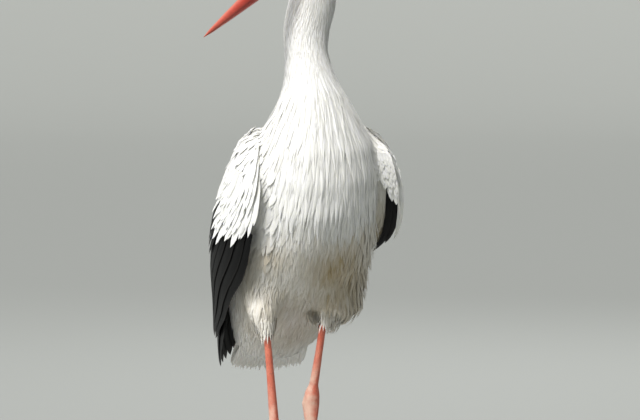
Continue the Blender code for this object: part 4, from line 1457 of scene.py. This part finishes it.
def make_eyes():
    """Each eye as a ball with a slightly bulging cornea, in a ring of thick lids."""
    for side, sign in (("left", -1), ("right", 1)):
        centre = np.array(EYES[side])
        out = unit(RIGHT * sign + FORWARD * 0.22 + UP * 0.05)
        bm = bmesh.new()
        bmesh.ops.create_uvsphere(bm, u_segments=40, v_segments=28, radius=EYE_RADIUS)
        mesh = from_bmesh(bm, "eye")
        points, _ = arrays(mesh)
        off = np.degrees(np.arccos(np.clip(unit(points) @ out, -1, 1)))
        bulge = 1 + 0.03 * fade(20, 48, off)
        moved(mesh, points * bulge[:, None] + centre)
        give_values(mesh, "from_pupil", np.clip(off / 62, 0, 1))
        place(f"eyeball_{side}", mesh, EYE, "eye_dark", "eye_" + side)
        make_lids(side, centre, out)


def make_lids(side, centre, out):
    """A soft black ring of skin that closes on the eyeball above and below."""
    up = across_face(UP, out)
    ahead = np.cross(up, out)
    count, ring = 36, 12
    turn, bend = (2 * np.pi * np.arange(many)[:, None] / many for many in (count, ring))
    direction = up * np.sin(turn) + ahead * np.cos(turn)
    # Lids reach further over the ball above and below than at the corners.
    opening = np.radians(64 - 17 * np.abs(np.sin(turn)) ** 1.5)
    middle = centre + (direction * np.sin(opening) + out * np.cos(opening)) * (EYE_RADIUS + 0.0001)
    thick = (0.0006 + 0.0003 * np.maximum(np.sin(turn), 0))[:, None]
    rings = middle[:, None] + direction[:, None] * thick * 1.6 * np.cos(bend)
    rings = rings + out * thick * np.sin(bend)
    mesh = mesh_from("lids", rings.reshape(-1, 3), ring_faces(count, ring, closed=True))
    place(f"eyelids_{side}", faced_out(mesh), BARE, "eye_dark")


def make_bare_face():
    """Bare black skin round the eyes, as a thin skin just over the down."""
    mask = bare_face(SKIN.points)
    used, index = np.unique(SKIN.tri[mask[SKIN.tri].mean(1) > 0.45], return_inverse=True)
    over = 0.0002 + 0.0008 * ease(0.4, 0.8, mask[used])
    outer = SKIN.points[used] + SKIN.normals[used] * over[:, None]
    made = worked(
        mesh_from("bare_face", outer, index.reshape(-1, 3)),
        ("SOLIDIFY", {"thickness": 0.0009, "offset": -1}),
        ("SUBSURF", {"levels": 1, "render_levels": 1}),
    )
    place("bare_face_skin", made, BARE, "eye_dark")


# ---- legs ---------------------------------------------------------------------------
def above_floor(mesh, points):
    points[:, 2] = np.maximum(points[:, 2], 0.0)
    moved(mesh, points)


def make_legs():
    for side in ("left", "right"):
        names = [f"{part}_{side}" for part in ("tibia", "shank", "foot")]
        bm = bmesh.new()
        for name in names:
            grown_copy(bm, name, LEG_GROWN)
        mesh = closed_over(bm, LEG_VOXEL * (1), 5)
        points, normals = arrays(mesh)
        above_floor(mesh, points - normals * LEG_GROWN)
        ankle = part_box("shank_" + side)[1].z - 0.026
        # Chalk is whiter on the side that faces the key and side lamps: painted highlight over the real
        # chalk.
        lit_side = ease(-0.6, 0.6, -normals[:, 0] + 0.4 * wobble(points, 0.02, 3.0))
        chalk = bell(points[:, 2], ankle, 0.050) * lit_side
        give_values(mesh, "chalk", np.clip(chalk + 0.15, 0, 1))
        place(f"leg_skin_{side}", mesh, SCALES, "red_skin", *names)


def make_claws():
    """Short blunt claws of dark horn, as smooth as use has worn them."""
    for name in [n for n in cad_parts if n.startswith("claw_")]:
        bm = bmesh.new()
        grown_copy(bm, name, CLAW_GROWN)
        made = worked(from_bmesh(bm, name), ("SUBSURF", {"levels": 2, "render_levels": 2}))
        above_floor(made, arrays(made)[0])
        place(name + "_horn", made, CLAW, "claw_dark", name)


# ---- stage --------------------------------------------------------------------------
VIEW_AZIMUTH, VIEW_ELEVATION = math.radians(-13.0), math.radians(4.0)
VIEW_DISTANCE = 5.0
FIELD_WIDTH = 0.896  # seen at the bird
AIM_ASIDE, AIM_BACK, AIM_HEIGHT = 0.0308, 0.03, 0.508
FLOOR_EDGE, SWEEP = 12.0, 7.0  # where the floor starts to rise, and its radius there


def aimed(name, data, direction, place_at=(0, 0, 0)):
    made = in_scene(name, data)
    made.location = place_at
    made.rotation_mode = "QUATERNION"
    made.rotation_quaternion = Vector(direction).to_track_quat("-Z", "Y")
    return made


def make_camera():
    level = math.cos(VIEW_ELEVATION)
    back = Vector((
        math.sin(VIEW_AZIMUTH) * level, -math.cos(VIEW_AZIMUTH) * level, math.sin(VIEW_ELEVATION)
    ))
    right = Vector((math.cos(VIEW_AZIMUTH), math.sin(VIEW_AZIMUTH), 0))
    aim = Vector(SHIFT) + right * AIM_ASIDE + Vector((0, AIM_BACK, AIM_HEIGHT))
    data = bpy.data.cameras.new("camera")
    data.lens = data.sensor_width * VIEW_DISTANCE / FIELD_WIDTH
    data.clip_end = 400
    bpy.context.scene.camera = aimed("camera", data, -back, aim + back * VIEW_DISTANCE)


def lamp(name, kind, power, colour, direction, place_at=(0, 0, 0), **settings):
    data = bpy.data.lights.new(name, kind)
    data.energy, data.color = power, linear(colour)[:3]
    for key, value in settings.items():
        setattr(data, key, value)
    aimed(name, data, direction, place_at)


def make_floor():
    """A round pale floor that sweeps up far away."""
    around, flat, curve = 96, 4, 16
    rise = np.pi / 2 * np.arange(1, curve + 1)[:, None] / curve
    reach = np.append(FLOOR_EDGE * np.arange(1, flat + 1) / flat, FLOOR_EDGE + SWEEP * np.sin(rise))
    height = np.append(np.zeros(flat), SWEEP * (1 - np.cos(rise)))[:, None]
    turn = 2 * np.pi * np.arange(around) / around
    rings = np.stack(np.broadcast_arrays(
        reach[:, None] * np.cos(turn), reach[:, None] * np.sin(turn), height
    ), -1)
    points = np.append(rings.reshape(-1, 3), ((0, 0, 0),), 0)
    faces = ring_faces(flat + curve, around)[:, ::-1].tolist()  # facing up, as the fan does
    mesh = mesh_from("floor", points, faces + fan(0, around, len(points) - 1))
    mesh.shade_smooth()
    paint, _ = new_finish("studio_floor_paint")  # matt pale grey wall paint
    mesh.materials.append(surfaced(paint, Base_Color="#A3A6A3", Roughness=0.85))
    in_scene("floor", mesh)


def make_lights():
    world = bpy.data.worlds.new("studio")
    bpy.context.scene.world = world
    world.use_nodes = True
    sky = world.node_tree.nodes["Background"]
    give(sky, {"Color": "#CBD0D4", "Strength": 0.22})
    lamp("key", "SUN", 3.6, "#FFFDFA", (0.78, 1.0, -1.45), angle=math.radians(14))
    for name, power, colour, spot, height, size in (
        ("side", 210, "#FFFFFF", (-6.5, -2.2, 2.3), 0.65, 3.4),
        ("fill", 1, "#EEF3FF", (2.6, -2.2, 1.4), 0.5, 2.4),
        ("rim", 22, "#FFFFFF", (1.2, 2.6, 2.2), 0.5, 1.6),
    ):
        to_bird = Vector((0, 0, height)) - Vector(spot)
        lamp(name, "AREA", power, colour, to_bird, spot, shape="DISK", size=size)
    bpy.context.scene.view_settings.view_transform = "Standard"


# ---- assembly -----------------------------------------------------------------------
make_camera()
make_floor()
make_lights()
make_bill()
make_eyes()
make_legs()
make_claws()
SKIN = Surface(make_skin())
make_bare_face()
body = Coat("body_plumage", WHITE, "white_feather")
for dress in (dress_body, dress_ruff, dress_shoulder, dress_flank, dress_thighs):
    dress(body)
coverts = Coat("wing_coverts", WHITE, "white_feather")
quills = Coat("wing_quills", BLACK, "black_feather")
tail = Coat("tail_plumage", WHITE, "white_feather")
for wing in WINGS:
    lay_coverts(coverts, wing)
    lay_curtain(coverts, wing)
    lay_quills(quills, wing)
lay_front_edge(coverts, quills, LEFT_WING)
dress_tail(tail)
for coat in (body, coverts, quills, tail):
    coat.close()
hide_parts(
    "wing_left_secondaries", "wing_right_secondaries",
    "wing_left_primaries", "wing_right_primaries",
)
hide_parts("tail")
